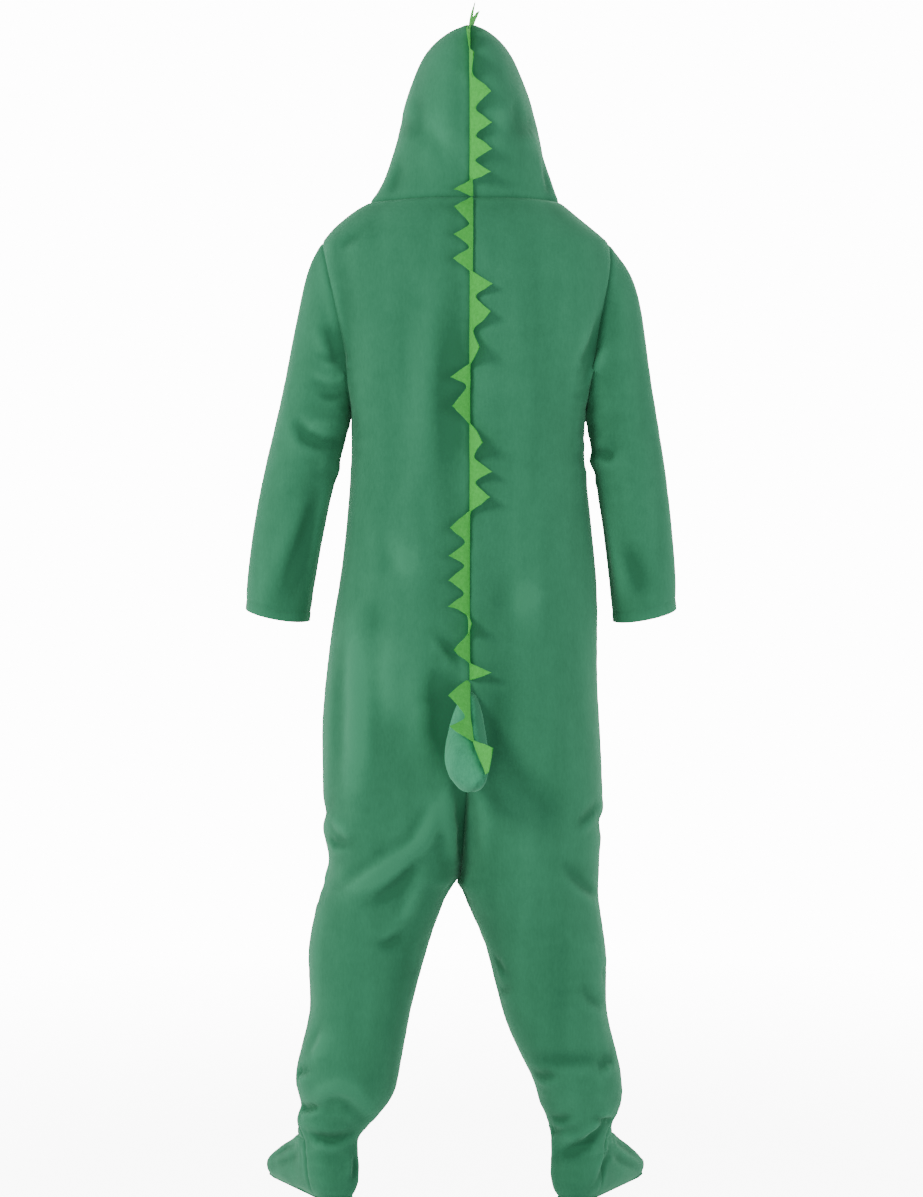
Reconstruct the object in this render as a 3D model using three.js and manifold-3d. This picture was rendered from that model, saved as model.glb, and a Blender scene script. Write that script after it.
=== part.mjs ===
// A hooded crocodile all-in-one with feet, as it hangs when it is worn: a three.js model.
// Millimetres, +Z up, the garment's front towards -Y and its left side towards +X.
// Heights are counted from the floor. The whole group is then lowered, so that the origin is
// between the shoulders, where a wearer carries the garment.
import * as THREE from "three";
import { mergeVertices } from "three/addons/utils/BufferGeometryUtils.js";
import Module from "manifold-3d";

const wasm = await Module();
wasm.setup();

// ---------------------------------------------------------------- driving sizes
const FLEECE = 2; // thickness of the green cloth
const FELT = 1.6; // thickness of the spike strips
const SEAM_GAP = 0.3; // between two pieces that are sewn together
const EDGE_BEVEL = 0.9; // how far the inside of a cut edge lies back from its outside
const SHOULDER_HEIGHT = 1490; // from the floor to the shoulder points
const ARMPIT_HEIGHT = 1221;
const CROTCH_HEIGHT = 494; // above it, the panels meet on the garment's middle seam
const NECK_HEIGHT = 1550; // of the hood seam at the back
const NECK_DIP = 34; // how much lower the neckline is at the front
const ARMHOLE_HALF_DEPTH = 66; // of the armhole, front to back
const ANKLE_SEAM = 92; // height of the seam over the instep
const SOLE = 2.6; // thickness of the sole pieces
const PANEL_CELLS = 8; // cells across a front or back panel
const ARMHOLE_STEPS = 10; // rows of a panel between the armpit and the shoulder point
const LEFT = 1;
const RIGHT = -1;
const GREEN = 0x35815c;
const LIME = 0x62c053;
const DARK_TAPE = 0x2a6b4c;
const NICKEL = 0xb9bcbe;

// ---------------------------------------------------------------- tables
// Turns rows of numbers into objects with named columns.
const table = (columns, rows) =>
  rows.map((row) => Object.fromEntries(columns.split(" ").map((name, i) => [name, row[i]])));

// Level sections of the body, one row for each height, from the floor to the neck.
// leftIn and leftOut are how far the left half reaches from the middle, rightIn and rightOut the
// right half. back and front are its depths from mid, the place of the side seam. lobe is 0 where
// both halves share one round and 1 where each leg is a tube of its own. square and frontSquare
// say how square the back and the front are, from 2 for a round, and yaw turns the foot outwards.
const SECTIONS = table(
  "height leftIn leftOut rightIn rightOut mid back front lobe square frontSquare yaw",
  [
    [3, 186, 244, 141, 201, 8, 42, 214, 1, 2.4, 4.2, 27],
    [16, 178, 252, 132, 208, 8, 48, 219, 1, 2.4, 4.2, 27],
    [32, 174, 256, 128, 212, 8, 50, 202, 1, 2.4, 4.0, 27],
    [60, 174, 259, 128, 215, 8, 48, 140, 1, 2.4, 3.2, 27],
    [92, 175, 261, 128, 215, 8, 47, 72, 1, 2.3, 2.6, 24],
    [108, 160, 266, 127, 219, 6, 58, 68, 1, 2.2, 2.3, 14],
    [122, 146, 270, 122, 228, 4, 68, 68, 1, 2.2, 2.2, 7],
    [145, 125, 261, 108, 238, 2, 76, 70, 1, 2.2, 2.2, 2],
    [165, 115, 270, 104, 240, 0, 88, 78, 1, 2.2, 2.2, 0],
    [185, 110, 273, 98, 239, 0, 94, 82, 1, 2.2, 2.2, 0],
    [213, 106, 269, 83, 235, 0, 95, 84, 1, 2.2, 2.2, 0],
    [275, 95, 250, 55, 217, 0, 94, 88, 1, 2.2, 2.2, 0],
    [307, 89, 247, 47, 214, 0, 96, 91, 1, 2.2, 2.2, 0],
    [369, 70, 252, 31, 216, 0, 101, 97, 1, 2.2, 2.2, 0],
    [400, 61, 250, 22, 213, 0, 104, 100, 1, 2.2, 2.2, 0],
    [463, 38, 238, -6, 202, 0, 110, 106, 1, 2.2, 2.2, 0],
    [478, 31, 232, -14, 202, 0, 112, 107, 1, 2.2, 2.2, 0],
    [489, 24, 227, -20, 202, 0, 113, 108, 1, 2.2, 2.2, 0],
    [498, 15, 223, -15, 203, 0, 114, 109, 0.998, 2.2, 2.2, 0],
    [530, 11, 219, -11, 204, 0, 116, 111, 0.985, 2.2, 2.2, 0],
    [557, 9, 228, -9, 206, 0, 118, 112, 0.965, 2.3, 2.3, 0],
    [592, 7, 230, -7, 208, 0, 122, 114, 0.93, 2.3, 2.3, 0],
    [636, 4, 230, -4, 208, 0, 127, 117, 0.82, 2.4, 2.4, 0],
    [690, 2, 230, -2, 205, 0, 132, 119, 0.58, 2.4, 2.4, 0],
    [744, 0, 230, 0, 202, 0, 134, 122, 0.34, 2.4, 2.4, 0],
    [807, 0, 224, 0, 199, 0, 132, 125, 0.15, 2.4, 2.4, 0],
    [870, 0, 216, 0, 200, 0, 126, 127, 0.05, 2.5, 2.5, 0],
    [932, 0, 206, 0, 200, 0, 120, 128, 0, 2.6, 2.6, 0],
    [995, 0, 195, 0, 195, 0, 116, 128, 0, 2.7, 2.7, 0],
    [1120, 0, 185, 0, 183, 0, 113, 128, 0, 2.9, 2.9, 0],
    [1180, 0, 182, 0, 178, 0, 114, 128, 0, 3.0, 3.0, 0],
    [1221, 0, 184, 0, 180, 0, 115, 128, 0, 3.0, 3.0, 0],
    [1260, 0, 192, 0, 190, 0, 116, 127, 0, 3.2, 3.2, 0],
    [1323, 0, 205, 0, 205, 0, 117, 124, 0, 3.4, 3.4, 0],
    [1401, 0, 219, 0, 219, 0, 115, 118, 0, 3.4, 3.4, 0],
    [1451, 0, 226, 0, 223, 0, 111, 111, 0, 3.2, 3.2, 0],
    [1490, 0, 230, 0, 216, 0, 105, 105, 0, 2.7, 2.7, 0],
    [1508, 0, 216, 0, 195, 0, 101, 102, 0, 2.5, 2.5, 0],
    [1524, 0, 197, 0, 173, 0, 96, 99, 0, 2.4, 2.4, 0],
    [1538, 0, 178, 0, 158, 0, 89, 95, 0, 2.3, 2.3, 0],
    [1550, 0, 157, 0, 140, 0, 81, 91, 0, 2.2, 2.2, 0],
  ],
);

// Sleeves, one row for each ring from the armhole to the cuff. out and in are the outer and the
// underarm point, seen from behind. depth is half of the ring, front to back, and mid its middle.
const SLEEVES = {
  [LEFT]: table("outX outZ inX inZ depth mid", [
    [245, 1470, 185, 1217, 66, 0],
    [257, 1436, 187, 1211, 66, 1],
    [266, 1388, 189, 1202, 65, 2],
    [279, 1325, 193, 1188, 64, 3],
    [296, 1245, 201, 1159, 62, 4],
    [310, 1182, 209, 1124, 61, 3],
    [324, 1120, 220, 1077, 60, 0],
    [336, 1057, 231, 1026, 60, -6],
    [346, 995, 240, 974, 60, -13],
    [352, 945, 247, 928, 60, -20],
    [353, 918, 251, 899, 60, -23],
  ]),
  [RIGHT]: table("outX outZ inX inZ depth mid", [
    [238, 1466, 180, 1217, 66, 0],
    [257, 1436, 181, 1211, 66, 1],
    [270, 1388, 183, 1202, 65, 2],
    [278, 1322, 186, 1188, 64, 3],
    [289, 1245, 190, 1158, 62, 4],
    [299, 1182, 196, 1120, 61, 3],
    [309, 1120, 204, 1074, 60, 0],
    [316, 1057, 211, 1024, 60, -6],
    [322, 995, 218, 972, 60, -13],
    [325, 945, 223, 926, 60, -20],
    [325, 918, 226, 898, 60, -23],
  ]),
};
const SLEEVE_CELLS = 2 * ARMHOLE_STEPS; // round a sleeve
const CUFF_SAG = 9; // how much lower the cuff hangs at its back and front

// The hood, one row for each level from the neck seam to the crown seam. side is the height of
// its widest place and wide its half-width. back is on the middle seam, and edge is on the edge
// of the face opening. The hood leans to the left, so its left half is the wider one: WIDER is
// the share of the table's width that each half has.
const HOOD = table("side wide backY backZ edgeX edgeY edgeZ", [
  [1550, 148, 81, 1550, 3, -91, 1516],
  [1584, 132, 92, 1580, 60, -97, 1549],
  [1617, 121, 101, 1613, 82, -96, 1593],
  [1650, 111, 107, 1646, 91, -92, 1638],
  [1682, 105, 110, 1679, 93, -88, 1680],
  [1712, 98, 109, 1709, 88, -87, 1715],
  [1742, 87, 104, 1736, 76, -90, 1743],
  [1772, 76, 95, 1762, 58, -98, 1760],
  [1795, 61, 85, 1780, 39, -107, 1768],
  [1810, 43, 78, 1789, 24, -113, 1772],
  [1820, 25, 74, 1793, 11, -117, 1773],
  [1824, 0, 72, 1794, 0, -118, 1773],
]);
const WIDER = { [LEFT]: 1.04, [RIGHT]: 0.98 };
const HOOD_CELLS = 2 * PANEL_CELLS; // from the middle seam to the face opening

// The stuffed tail sits on the seat. The cloth under it is SEAT_DEPTH behind the middle.
const SEAT_DEPTH = 133;
const TAIL_ROOT = 14; // how far its first slice is set into the seat before it is cut to fit
// The part of the seat that the tail is cut to: its heights, its cells from the middle seam, and
// how far its block reaches past the middle and behind the cloth.
const SEAT = { bottom: 560, top: 940, cells: 4, pastMiddle: 2, deep: 42 };
// The stuffed tail, one row for each slice from the seat to just before the tip. ridge and under
// are its top and bottom points, out is measured backwards from the seat, and ridgeX, underX and
// middleX lean it to the right. The first slice lies on the seat.
const TAIL = table("ridgeX ridgeOut ridgeZ middleX underX underOut underZ halfWidth", [
  [0, 0, 804, 1, 0, 0, 664, 20],
  [0, 18, 787, 5, 1, 20, 649, 28],
  [-1, 39, 763, 6, 0, 43, 641, 33],
  [-3, 62, 737, 5, -3, 66, 640, 33],
  [-8, 84, 711, -1, -8, 86, 646, 26],
  [-16, 99, 692, -11, -14, 100, 655, 16],
  [-22, 106, 682, -20, -20, 107, 663, 7],
]);
const TAIL_TIP = { x: -26, out: 111, z: 672 };
const TAIL_CELLS = 6; // from the ridge to the bottom, on each side

// The spikes of each strip, from its lower to its upper end: the length of each one's base, how
// far it leans over and how far the band under it does, in degrees from upright to the left.
const SPIKE_BAND = 7; // the part of a strip that joins its spikes
const SPIKE_HEIGHT = 32; // beyond the band
const HOOD_SPIKES = table("base lean band", [
  [22, 74, -45], [28, -74, -20], [36, -77, -35], [38, -77, -35], [47, -72, -30], [41, -12, 0],
  [41, 10, 0], [50, -16, -4], [50, -30, -8], [49, -12, -4], [49, -24, -6],
]);
const BACK_SPIKES = table("base lean band", [
  [24, -72, -30], [46, 50, 10], [30, -10, 20], [32, 78, 30], [43, 74, 25], [35, 76, 20],
  [49, 74, 5], [44, -66, -25], [37, -76, -35], [53, -38, -10], [57, 62, 0], [32, 78, -5],
  [54, -28, -5], [51, -68, -30], [36, -78, -40], [39, 76, -40], [36, 74, -45], [46, 70, -45],
]);
const TAIL_SPIKES = table("base lean band", [
  [54, -38, -5], [44, 80, 30], [70, 74, 30],
]);
// A spike's outline by its quarters, and how it curls over from its base to its tip.
const SPIKE_OUTLINE = [0.06, 0.53, 1, 0.53];
const SPIKE_CURL = table("height lean", [
  [0.5, 0.85],
  [1, 1],
]);
const BACK_STRIP = { bottom: 809, top: 1545 }; // heights of its ends
const HOOD_STRIP_BOTTOM = 1555;

// Large soft folds of the body: a line on the cloth, how far it is raised and how wide it is.
const FOLDS = table("side fromX fromY fromZ toX toY toZ raised wide", [
  [LEFT, 58, 105, 594, 143, 100, 494, 9, 24],
  [LEFT, 42, 100, 540, 152, 95, 443, -7, 20],
  [LEFT, 50, 95, 505, 128, 95, 422, 6, 20],
  [LEFT, 136, 105, 790, 160, 100, 610, 5, 20],
  [LEFT, 175, 95, 774, 199, 80, 602, -4, 18],
  [LEFT, 215, 60, 300, 120, 80, 250, 5, 24],
  [LEFT, 58, -100, 590, 150, -95, 500, 7, 26],
  [LEFT, 150, -95, 740, 165, -90, 600, 4, 22],
  [RIGHT, 52, 110, 712, 91, 105, 633, -6, 35],
  [RIGHT, 39, 105, 618, 44, 100, 461, 5, 22],
  [RIGHT, 160, 95, 560, 205, 50, 590, -4, 18],
  [RIGHT, 190, 60, 290, 100, 80, 235, 5, 24],
  [RIGHT, 52, -100, 600, 140, -95, 520, 7, 26],
  [RIGHT, 150, -95, 720, 150, -90, 610, 4, 22],
]);

// The zip in the front opening, from its lower to its upper end.
const ZIP_BOTTOM = 870;
const ZIP_TOP = 1524;
const ZIP_SLOT = 2.8; // half of the space between the two front edges
const TAPE = { inner: 0.4, outer: 11, thickness: 1 };
const SLIDER_HEIGHT = 1508;
const SLIDER = { topHalf: 4.6, bottomHalf: 3.2, half: 6.5, corner: 2, thickness: 2.2, lift: 0.4 };
const STEM = { half: 2.1, halfHeight: 4, back: 1.4 };
const BRIDGE = { half: 5, reach: 4.4, bar: 1.6, width: 2.2, sunk: 0.2 };
// The pull tab hangs on the bridge by a bar at its top. Its eye leaves room for the bridge.
const PULL = { half: 3.2, waist: 2.5, length: 30, thickness: 1.4, bar: 0.8, corner: 1.6 };
const EYE = { half: 1.7, length: 5.2 };

// ---------------------------------------------------------------- curves through tables
// The value of one column at a place along another, by a smooth curve through the rows.
function valueAt(rows, along, column, place) {
  const last = rows.length - 1;
  let i = rows.findIndex((row) => row[along] >= place) - 1;
  if (place <= rows[0][along]) i = 0;
  if (i < 0) i = last - 1;
  const slope = (k) => {
    const a = rows[Math.max(0, k - 1)];
    const b = rows[Math.min(last, k + 1)];
    return (b[column] - a[column]) / (b[along] - a[along]);
  };
  const [p, q] = [rows[i], rows[i + 1]];
  const step = q[along] - p[along];
  const t = Math.min(1, Math.max(0, (place - p[along]) / step));
  const [t2, t3] = [t * t, t * t * t];
  return (
    (2 * t3 - 3 * t2 + 1) * p[column] +
    (t3 - 2 * t2 + t) * step * slope(i) +
    (3 * t2 - 2 * t3) * q[column] +
    (t3 - t2) * step * slope(i + 1)
  );
}

// The points of a polyline at some shares of its length, in rising order.
function pointsAt(points, shares) {
  const lengths = [0];
  for (let i = 1; i < points.length; i++)
    lengths.push(lengths[i - 1] + points[i].distanceTo(points[i - 1]));
  let i = 1;
  return shares.map((share) => {
    const wanted = share * lengths.at(-1);
    while (i < points.length - 1 && lengths[i] < wanted) i++;
    const part = (wanted - lengths[i - 1]) / (lengths[i] - lengths[i - 1]);
    return points[i - 1].clone().lerp(points[i], Math.min(1, part));
  });
}

// Points spread evenly along a polyline.
const evenly = (points, cells) =>
  pointsAt(points, Array.from({ length: cells + 1 }, (_, k) => k / cells));

// The point of an upward path at a height.
function pointAtHeight(path, height) {
  const i = path.findIndex((p) => p.z > height);
  const [below, above] = [path[i - 1], path[i]];
  return below.clone().lerp(above, (height - below.z) / (above.z - below.z));
}

// ---------------------------------------------------------------- body surface
// The section of one side at a height, ready for bodyPoint.
function sectionAt(side, height) {
  const at = (column) => valueAt(SECTIONS, "height", column, height);
  const [inside, outside] =
    side === LEFT ? [at("leftIn"), at("leftOut")] : [at("rightIn"), at("rightOut")];
  const inner = inside + SEAM_GAP / 2;
  const centre = inner + (Math.min(1, at("lobe")) * (outside - inner)) / 2;
  const halfWidth = outside - centre;
  const dip = (NECK_DIP * Math.max(0, height - SHOULDER_HEIGHT)) / (NECK_HEIGHT - SHOULDER_HEIGHT);
  return {
    height, side, centre, halfWidth, dip,
    start: (square) => Math.acos(Math.min(1, (centre - inner) / halfWidth) ** (square / 2)),
    mid: at("mid"),
    back: { deep: at("back"), square: at("square") },
    front: { deep: at("front"), square: at("frontSquare") },
    yaw: THREE.MathUtils.degToRad(at("yaw")),
  };
}

// How far the cloth is raised at a point by the large folds.
function foldHeight(side, point) {
  let raised = 0;
  for (const fold of FOLDS) {
    if (fold.side !== side) continue;
    const line = new THREE.Line3(
      new THREE.Vector3(side * fold.fromX, fold.fromY, fold.fromZ),
      new THREE.Vector3(side * fold.toX, fold.toY, fold.toZ),
    );
    const nearest = line.closestPointToPoint(point, true, new THREE.Vector3());
    raised += fold.raised * Math.exp(-((nearest.distanceTo(point) / fold.wide) ** 2));
  }
  return raised;
}

// A point of the body. angle runs from the section's start at the middle seam, or 0 at the
// inseam, to PI at the side seam. facing is 1 for the back and -1 for the front.
function bodyPoint(section, angle, facing) {
  const { side, centre, halfWidth, mid, yaw, height, dip } = section;
  const { deep: depth, square } = facing > 0 ? section.back : section.front;
  const c = Math.cos(angle);
  const across = -halfWidth * Math.sign(c) * Math.abs(c) ** (2 / square);
  const round = Math.max(0, Math.sin(angle)) ** (2 / square);
  const deep = facing * depth * round;
  const lowered = facing < 0 ? dip * round * round : 0;
  const point = new THREE.Vector3(
    side * (centre + across * Math.cos(yaw) - deep * Math.sin(yaw)),
    mid + across * Math.sin(yaw) + deep * Math.cos(yaw),
    height - lowered,
  );
  const outwards = new THREE.Vector3(side * across, deep, 0).normalize();
  return point.addScaledVector(outwards, foldHeight(side, point));
}

const FINE_STEPS = 72; // for measuring along a section

// Half of a section, from the middle seam or inseam to the side seam or the armhole.
function panelRow(side, height, facing, cells, middleGap = 0) {
  const section = sectionAt(side, height);
  const { deep, square } = facing > 0 ? section.back : section.front;
  const start = section.start(square);
  const armhole = armholeHalfDepth(height);
  const end = Math.PI - Math.asin(Math.min(1, (armhole / deep) ** (square / 2)));
  const row = Array.from({ length: FINE_STEPS + 1 }, (_, k) =>
    bodyPoint(section, start + ((end - start) * k) / FINE_STEPS, facing),
  );
  return evenly(middleGap ? beyondMiddle(row, middleGap) : row, cells);
}

// The part of a row that is further than a gap from the middle, from exactly there.
function beyondMiddle(row, gap) {
  const i = row.findIndex((p) => Math.abs(p.x) > gap);
  if (i === 0) return row;
  const [a, b] = [row[i - 1], row[i]];
  const share = (gap - Math.abs(a.x)) / (Math.abs(b.x) - Math.abs(a.x));
  return [a.clone().lerp(b, share), ...row.slice(i)];
}

const ARMHOLE_MIDDLE = (SHOULDER_HEIGHT + ARMPIT_HEIGHT) / 2;
const ARMHOLE_HALF_HEIGHT = (SHOULDER_HEIGHT - ARMPIT_HEIGHT) / 2;

// Half of the armhole's depth at a height, and 0 above and below it.
function armholeHalfDepth(height) {
  const away = (height - ARMHOLE_MIDDLE) / ARMHOLE_HALF_HEIGHT;
  return Math.abs(away) < 1 ? ARMHOLE_HALF_DEPTH * Math.sqrt(1 - away * away) : 0;
}

// Heights of the rows of a panel: the foot's own, the table's, and even steps round the armhole.
const FOOT_HEIGHTS = [3, 9, 17, 30, 46, 62, 78, ANKLE_SEAM];
function rowHeights(lowest) {
  const rows = SECTIONS.map((row) => row.height).filter(
    (h) => h > ANKLE_SEAM && (h < ARMPIT_HEIGHT || h > SHOULDER_HEIGHT),
  );
  for (let k = 0; k <= ARMHOLE_STEPS; k++)
    rows.push(ARMHOLE_MIDDLE - ARMHOLE_HALF_HEIGHT * Math.cos((Math.PI * k) / ARMHOLE_STEPS));
  return [...FOOT_HEIGHTS, ...rows].filter((h) => h >= lowest).sort((a, b) => a - b);
}

// ---------------------------------------------------------------- cloth walls
// Triangles between two grids of points of the same size, closed round their edges. Triangles
// that have shrunk to a line are left out.
function closedBetween(outer, inner) {
  const positions = [];
  const face = (a, b, c) => {
    const area = b.clone().sub(a).cross(c.clone().sub(a)).length();
    if (area > 1e-4) positions.push(...a.toArray(), ...b.toArray(), ...c.toArray());
  };
  const quad = (a, b, c, d) => {
    face(a, b, c);
    face(a, c, d);
  };
  const [m, n] = [outer.length - 1, outer[0].length - 1];
  for (let i = 0; i < m; i++)
    for (let j = 0; j < n; j++) {
      quad(outer[i][j], outer[i + 1][j], outer[i + 1][j + 1], outer[i][j + 1]);
      quad(inner[i][j], inner[i][j + 1], inner[i + 1][j + 1], inner[i + 1][j]);
    }
  for (let i = 0; i < m; i++) {
    quad(outer[i][0], inner[i][0], inner[i + 1][0], outer[i + 1][0]);
    quad(outer[i][n], outer[i + 1][n], inner[i + 1][n], inner[i][n]);
  }
  for (let j = 0; j < n; j++) {
    quad(outer[0][j], outer[0][j + 1], inner[0][j + 1], inner[0][j]);
    quad(outer[m][j], inner[m][j], inner[m][j + 1], outer[m][j + 1]);
  }
  return facingOut(positions);
}

// A geometry of loose triangles, turned round if its faces point inwards.
function facingOut(positions) {
  const at = (i) => new THREE.Vector3().fromArray(positions, i);
  let volume = 0;
  for (let i = 0; i < positions.length; i += 9) volume += at(i).dot(at(i + 3).cross(at(i + 6)));
  if (volume < 0)
    for (let i = 0; i < positions.length; i += 9)
      for (let k = 0; k < 3; k++) {
        const kept = positions[i + 3 + k];
        positions[i + 3 + k] = positions[i + 6 + k];
        positions[i + 6 + k] = kept;
      }
  const geometry = new THREE.BufferGeometry();
  geometry.setAttribute("position", new THREE.Float32BufferAttribute(positions, 3));
  return geometry;
}

const middleOf = (grid) => {
  const sum = new THREE.Vector3();
  grid.flat().forEach((p) => sum.add(p));
  return sum.divideScalar(grid.flat().length);
};

// The grid's normals, pointing to the outside, which is away from the grid's own middle.
function normalsOf(grid) {
  const [m, n] = [grid.length - 1, grid[0].length - 1];
  const middle = middleOf(grid);
  let outwards = 0;
  const normals = grid.map((row, i) =>
    row.map((p, j) => {
      const along = grid[Math.min(m, i + 1)][j].clone().sub(grid[Math.max(0, i - 1)][j]);
      const across = row[Math.min(n, j + 1)].clone().sub(row[Math.max(0, j - 1)]);
      const normal = along.cross(across).normalize();
      outwards += normal.dot(p.clone().sub(middle));
      return normal;
    }),
  );
  if (outwards < 0) normals.flat().forEach((normal) => normal.negate());
  return normals;
}

// A panel of cloth: a grid of outer points with a wall of even thickness under it. Its edges are
// drawn in by half a seam gap, and the inside of each edge lies a little further back, so that
// panels that meet at an angle stay clear of each other. From the row middleFrom on, the first
// column is on the garment's middle seam, where the grid already keeps the gap and the wall's
// end must not lean past the middle.
function clothWall(grid, { side = 0, middleFrom = Infinity } = {}) {
  const [m, n] = [grid.length - 1, grid[0].length - 1];
  const normals = normalsOf(grid);
  normals.slice(Math.min(middleFrom, m + 1)).forEach((row) => {
    row[0].x = side * Math.min(0, side * row[0].x);
    row[0].normalize();
  });
  const towards = (a, b, amount) => b.clone().sub(a).normalize().multiplyScalar(amount);
  const drawnIn = (i, j, amount) => {
    const shift = new THREE.Vector3();
    const p = grid[i][j];
    if (i === 0) shift.add(towards(p, grid[1][j], amount));
    if (i === m) shift.add(towards(p, grid[m - 1][j], amount));
    if (j === 0 && i < middleFrom) shift.add(towards(p, grid[i][1], amount));
    if (j === n) shift.add(towards(p, grid[i][n - 1], amount));
    return shift;
  };
  const outer = grid.map((row, i) => row.map((p, j) => p.clone().add(drawnIn(i, j, SEAM_GAP / 2))));
  const inner = outer.map((row, i) =>
    row.map((p, j) =>
      p.clone().addScaledVector(normals[i][j], -FLEECE).add(drawnIn(i, j, EDGE_BEVEL)),
    ),
  );
  return closedBetween(outer, inner);
}

// A grid moved along its normals, outwards where the distance is positive.
function movedOut(grid, distance) {
  const normals = normalsOf(grid);
  return grid.map((row, i) => row.map((p, j) => p.clone().addScaledVector(normals[i][j], distance)));
}

// ---------------------------------------------------------------- cutting and joining
function solidOf(geometry) {
  const bare = new THREE.BufferGeometry();
  bare.setAttribute("position", geometry.getAttribute("position"));
  bare.setIndex(geometry.index);
  const merged = mergeVertices(bare, 1e-4);
  return new wasm.Manifold(
    new wasm.Mesh({
      numProp: 3,
      vertProperties: Float32Array.from(merged.getAttribute("position").array),
      triVerts: Uint32Array.from(merged.index.array),
    }),
  );
}

function geometryOf(solid) {
  const mesh = solid.getMesh();
  const geometry = new THREE.BufferGeometry();
  geometry.setAttribute("position", new THREE.BufferAttribute(mesh.vertProperties, 3));
  geometry.setIndex(new THREE.BufferAttribute(mesh.triVerts, 1));
  return geometry.toNonIndexed();
}

// ---------------------------------------------------------------- the sewn pieces
const costume = new THREE.Group();
costume.position.z = -SHOULDER_HEIGHT;

const COLOURS = {
  fleece: new THREE.MeshStandardMaterial({ color: GREEN, roughness: 0.95, metalness: 0 }),
  felt: new THREE.MeshStandardMaterial({ color: LIME, roughness: 0.95, metalness: 0 }),
  tape: new THREE.MeshStandardMaterial({ color: DARK_TAPE, roughness: 0.8, metalness: 0 }),
  metal: new THREE.MeshStandardMaterial({ color: NICKEL, roughness: 0.35, metalness: 1 }),
};

function addPiece(name, geometry, material, parent = costume) {
  const piece = new THREE.Mesh(geometry, material);
  piece.name = name;
  parent.add(piece);
  return piece;
}

const sideName = (side) => (side === LEFT ? "left" : "right");

// A panel's grid and the first of its rows that reaches the garment's middle.
function bodyPanel(side, lowest, facing, middleGap) {
  const heights = rowHeights(lowest);
  return {
    side,
    heights,
    middleFrom: heights.findIndex((height) => height > CROTCH_HEIGHT),
    grid: heights.map((height) => panelRow(side, height, facing, PANEL_CELLS, middleGap(height))),
  };
}

// A back panel: from the neck down the middle seam and the inseam to the heel.
const backPanel = (side) => bodyPanel(side, 0, 1, () => 0);

// A front panel: from the neck to the seam over the instep, with the zip slot down its middle.
const frontPanel = (side) =>
  bodyPanel(side, ANKLE_SEAM, -1, (height) => (height >= ZIP_BOTTOM ? ZIP_SLOT : 0));

// The piece over the toes: the front of the foot, from the instep seam to the sole.
const FOOT_CELLS = 2 * PANEL_CELLS;
const footTopGrid = (side) =>
  FOOT_HEIGHTS.map((height) => panelRow(side, height, -1, FOOT_CELLS));

// A sole: a flat piece under the foot with the outline of the lowest row.
function soleGeometry(side) {
  const heel = panelRow(side, FOOT_HEIGHTS[0], 1, FOOT_CELLS);
  const toes = panelRow(side, FOOT_HEIGHTS[0], -1, FOOT_CELLS).reverse();
  const outline = [...heel, ...toes.slice(1, -1)].map((p) => new THREE.Vector2(p.x, p.y));
  return new THREE.ExtrudeGeometry(new THREE.Shape(outline), {
    depth: SOLE,
    bevelEnabled: false,
  });
}

// A sleeve, from the armhole to the cuff, sewn along the underarm. Its first ring is the armhole
// itself, set a seam gap outwards.
function sleeveGrid(side) {
  const angles = Array.from({ length: SLEEVE_CELLS + 1 }, (_, k) => (2 * Math.PI * k) / SLEEVE_CELLS);
  const armhole = angles.map((angle) => {
    const height = ARMHOLE_MIDDLE - ARMHOLE_HALF_HEIGHT * Math.cos(angle);
    const facing = angle < Math.PI ? 1 : -1;
    const edge = panelRow(side, height, facing, PANEL_CELLS).at(-1);
    return edge.add(new THREE.Vector3(side * SEAM_GAP, 0, 0));
  });
  const rings = SLEEVES[side].map((ring, k) =>
    angles.map((angle) => {
      const share = (1 - Math.cos(angle)) / 2;
      const last = k === SLEEVES[side].length - 1;
      const sag = last ? CUFF_SAG * Math.abs(Math.sin(angle)) : 0;
      return new THREE.Vector3(
        side * (ring.inX + (ring.outX - ring.inX) * share),
        ring.mid + ring.depth * Math.sin(angle),
        ring.inZ + (ring.outZ - ring.inZ) * share - sag,
      );
    }),
  );
  return [armhole, ...rings];
}

// Half of the hood. Each level starts on the middle seam, goes round the side and ends on the
// edge of the face opening; the last level is the crown seam itself.
function hoodGrid(side) {
  const neck = [
    ...panelRow(side, NECK_HEIGHT, 1, HOOD_CELLS / 2),
    ...panelRow(side, NECK_HEIGHT, -1, HOOD_CELLS / 2, ZIP_SLOT).reverse().slice(1),
  ].map((p) => p.add(new THREE.Vector3(0, 0, SEAM_GAP)));
  const levels = HOOD.slice(1).map((row) => {
    const wide = row.wide * WIDER[side] + SEAM_GAP / 2;
    const edgeX = row.edgeX + SEAM_GAP / 2;
    const last = Math.PI - Math.asin(Math.min(1, edgeX / wide));
    const rise = 2 * row.side - (row.backZ + row.edgeZ) / 2;
    const fine = Array.from({ length: FINE_STEPS + 1 }, (_, k) => {
      const t = k / FINE_STEPS;
      const angle = last * t;
      const along = (1 - Math.cos(angle)) / (1 - Math.cos(last));
      return new THREE.Vector3(
        side * Math.max(SEAM_GAP / 2, wide * Math.sin(angle)),
        row.backY + (row.edgeY - row.backY) * along,
        row.backZ * (1 - t) ** 2 + 2 * rise * t * (1 - t) + row.edgeZ * t * t,
      );
    });
    return evenly(fine, HOOD_CELLS);
  });
  return [neck, ...levels];
}

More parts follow.
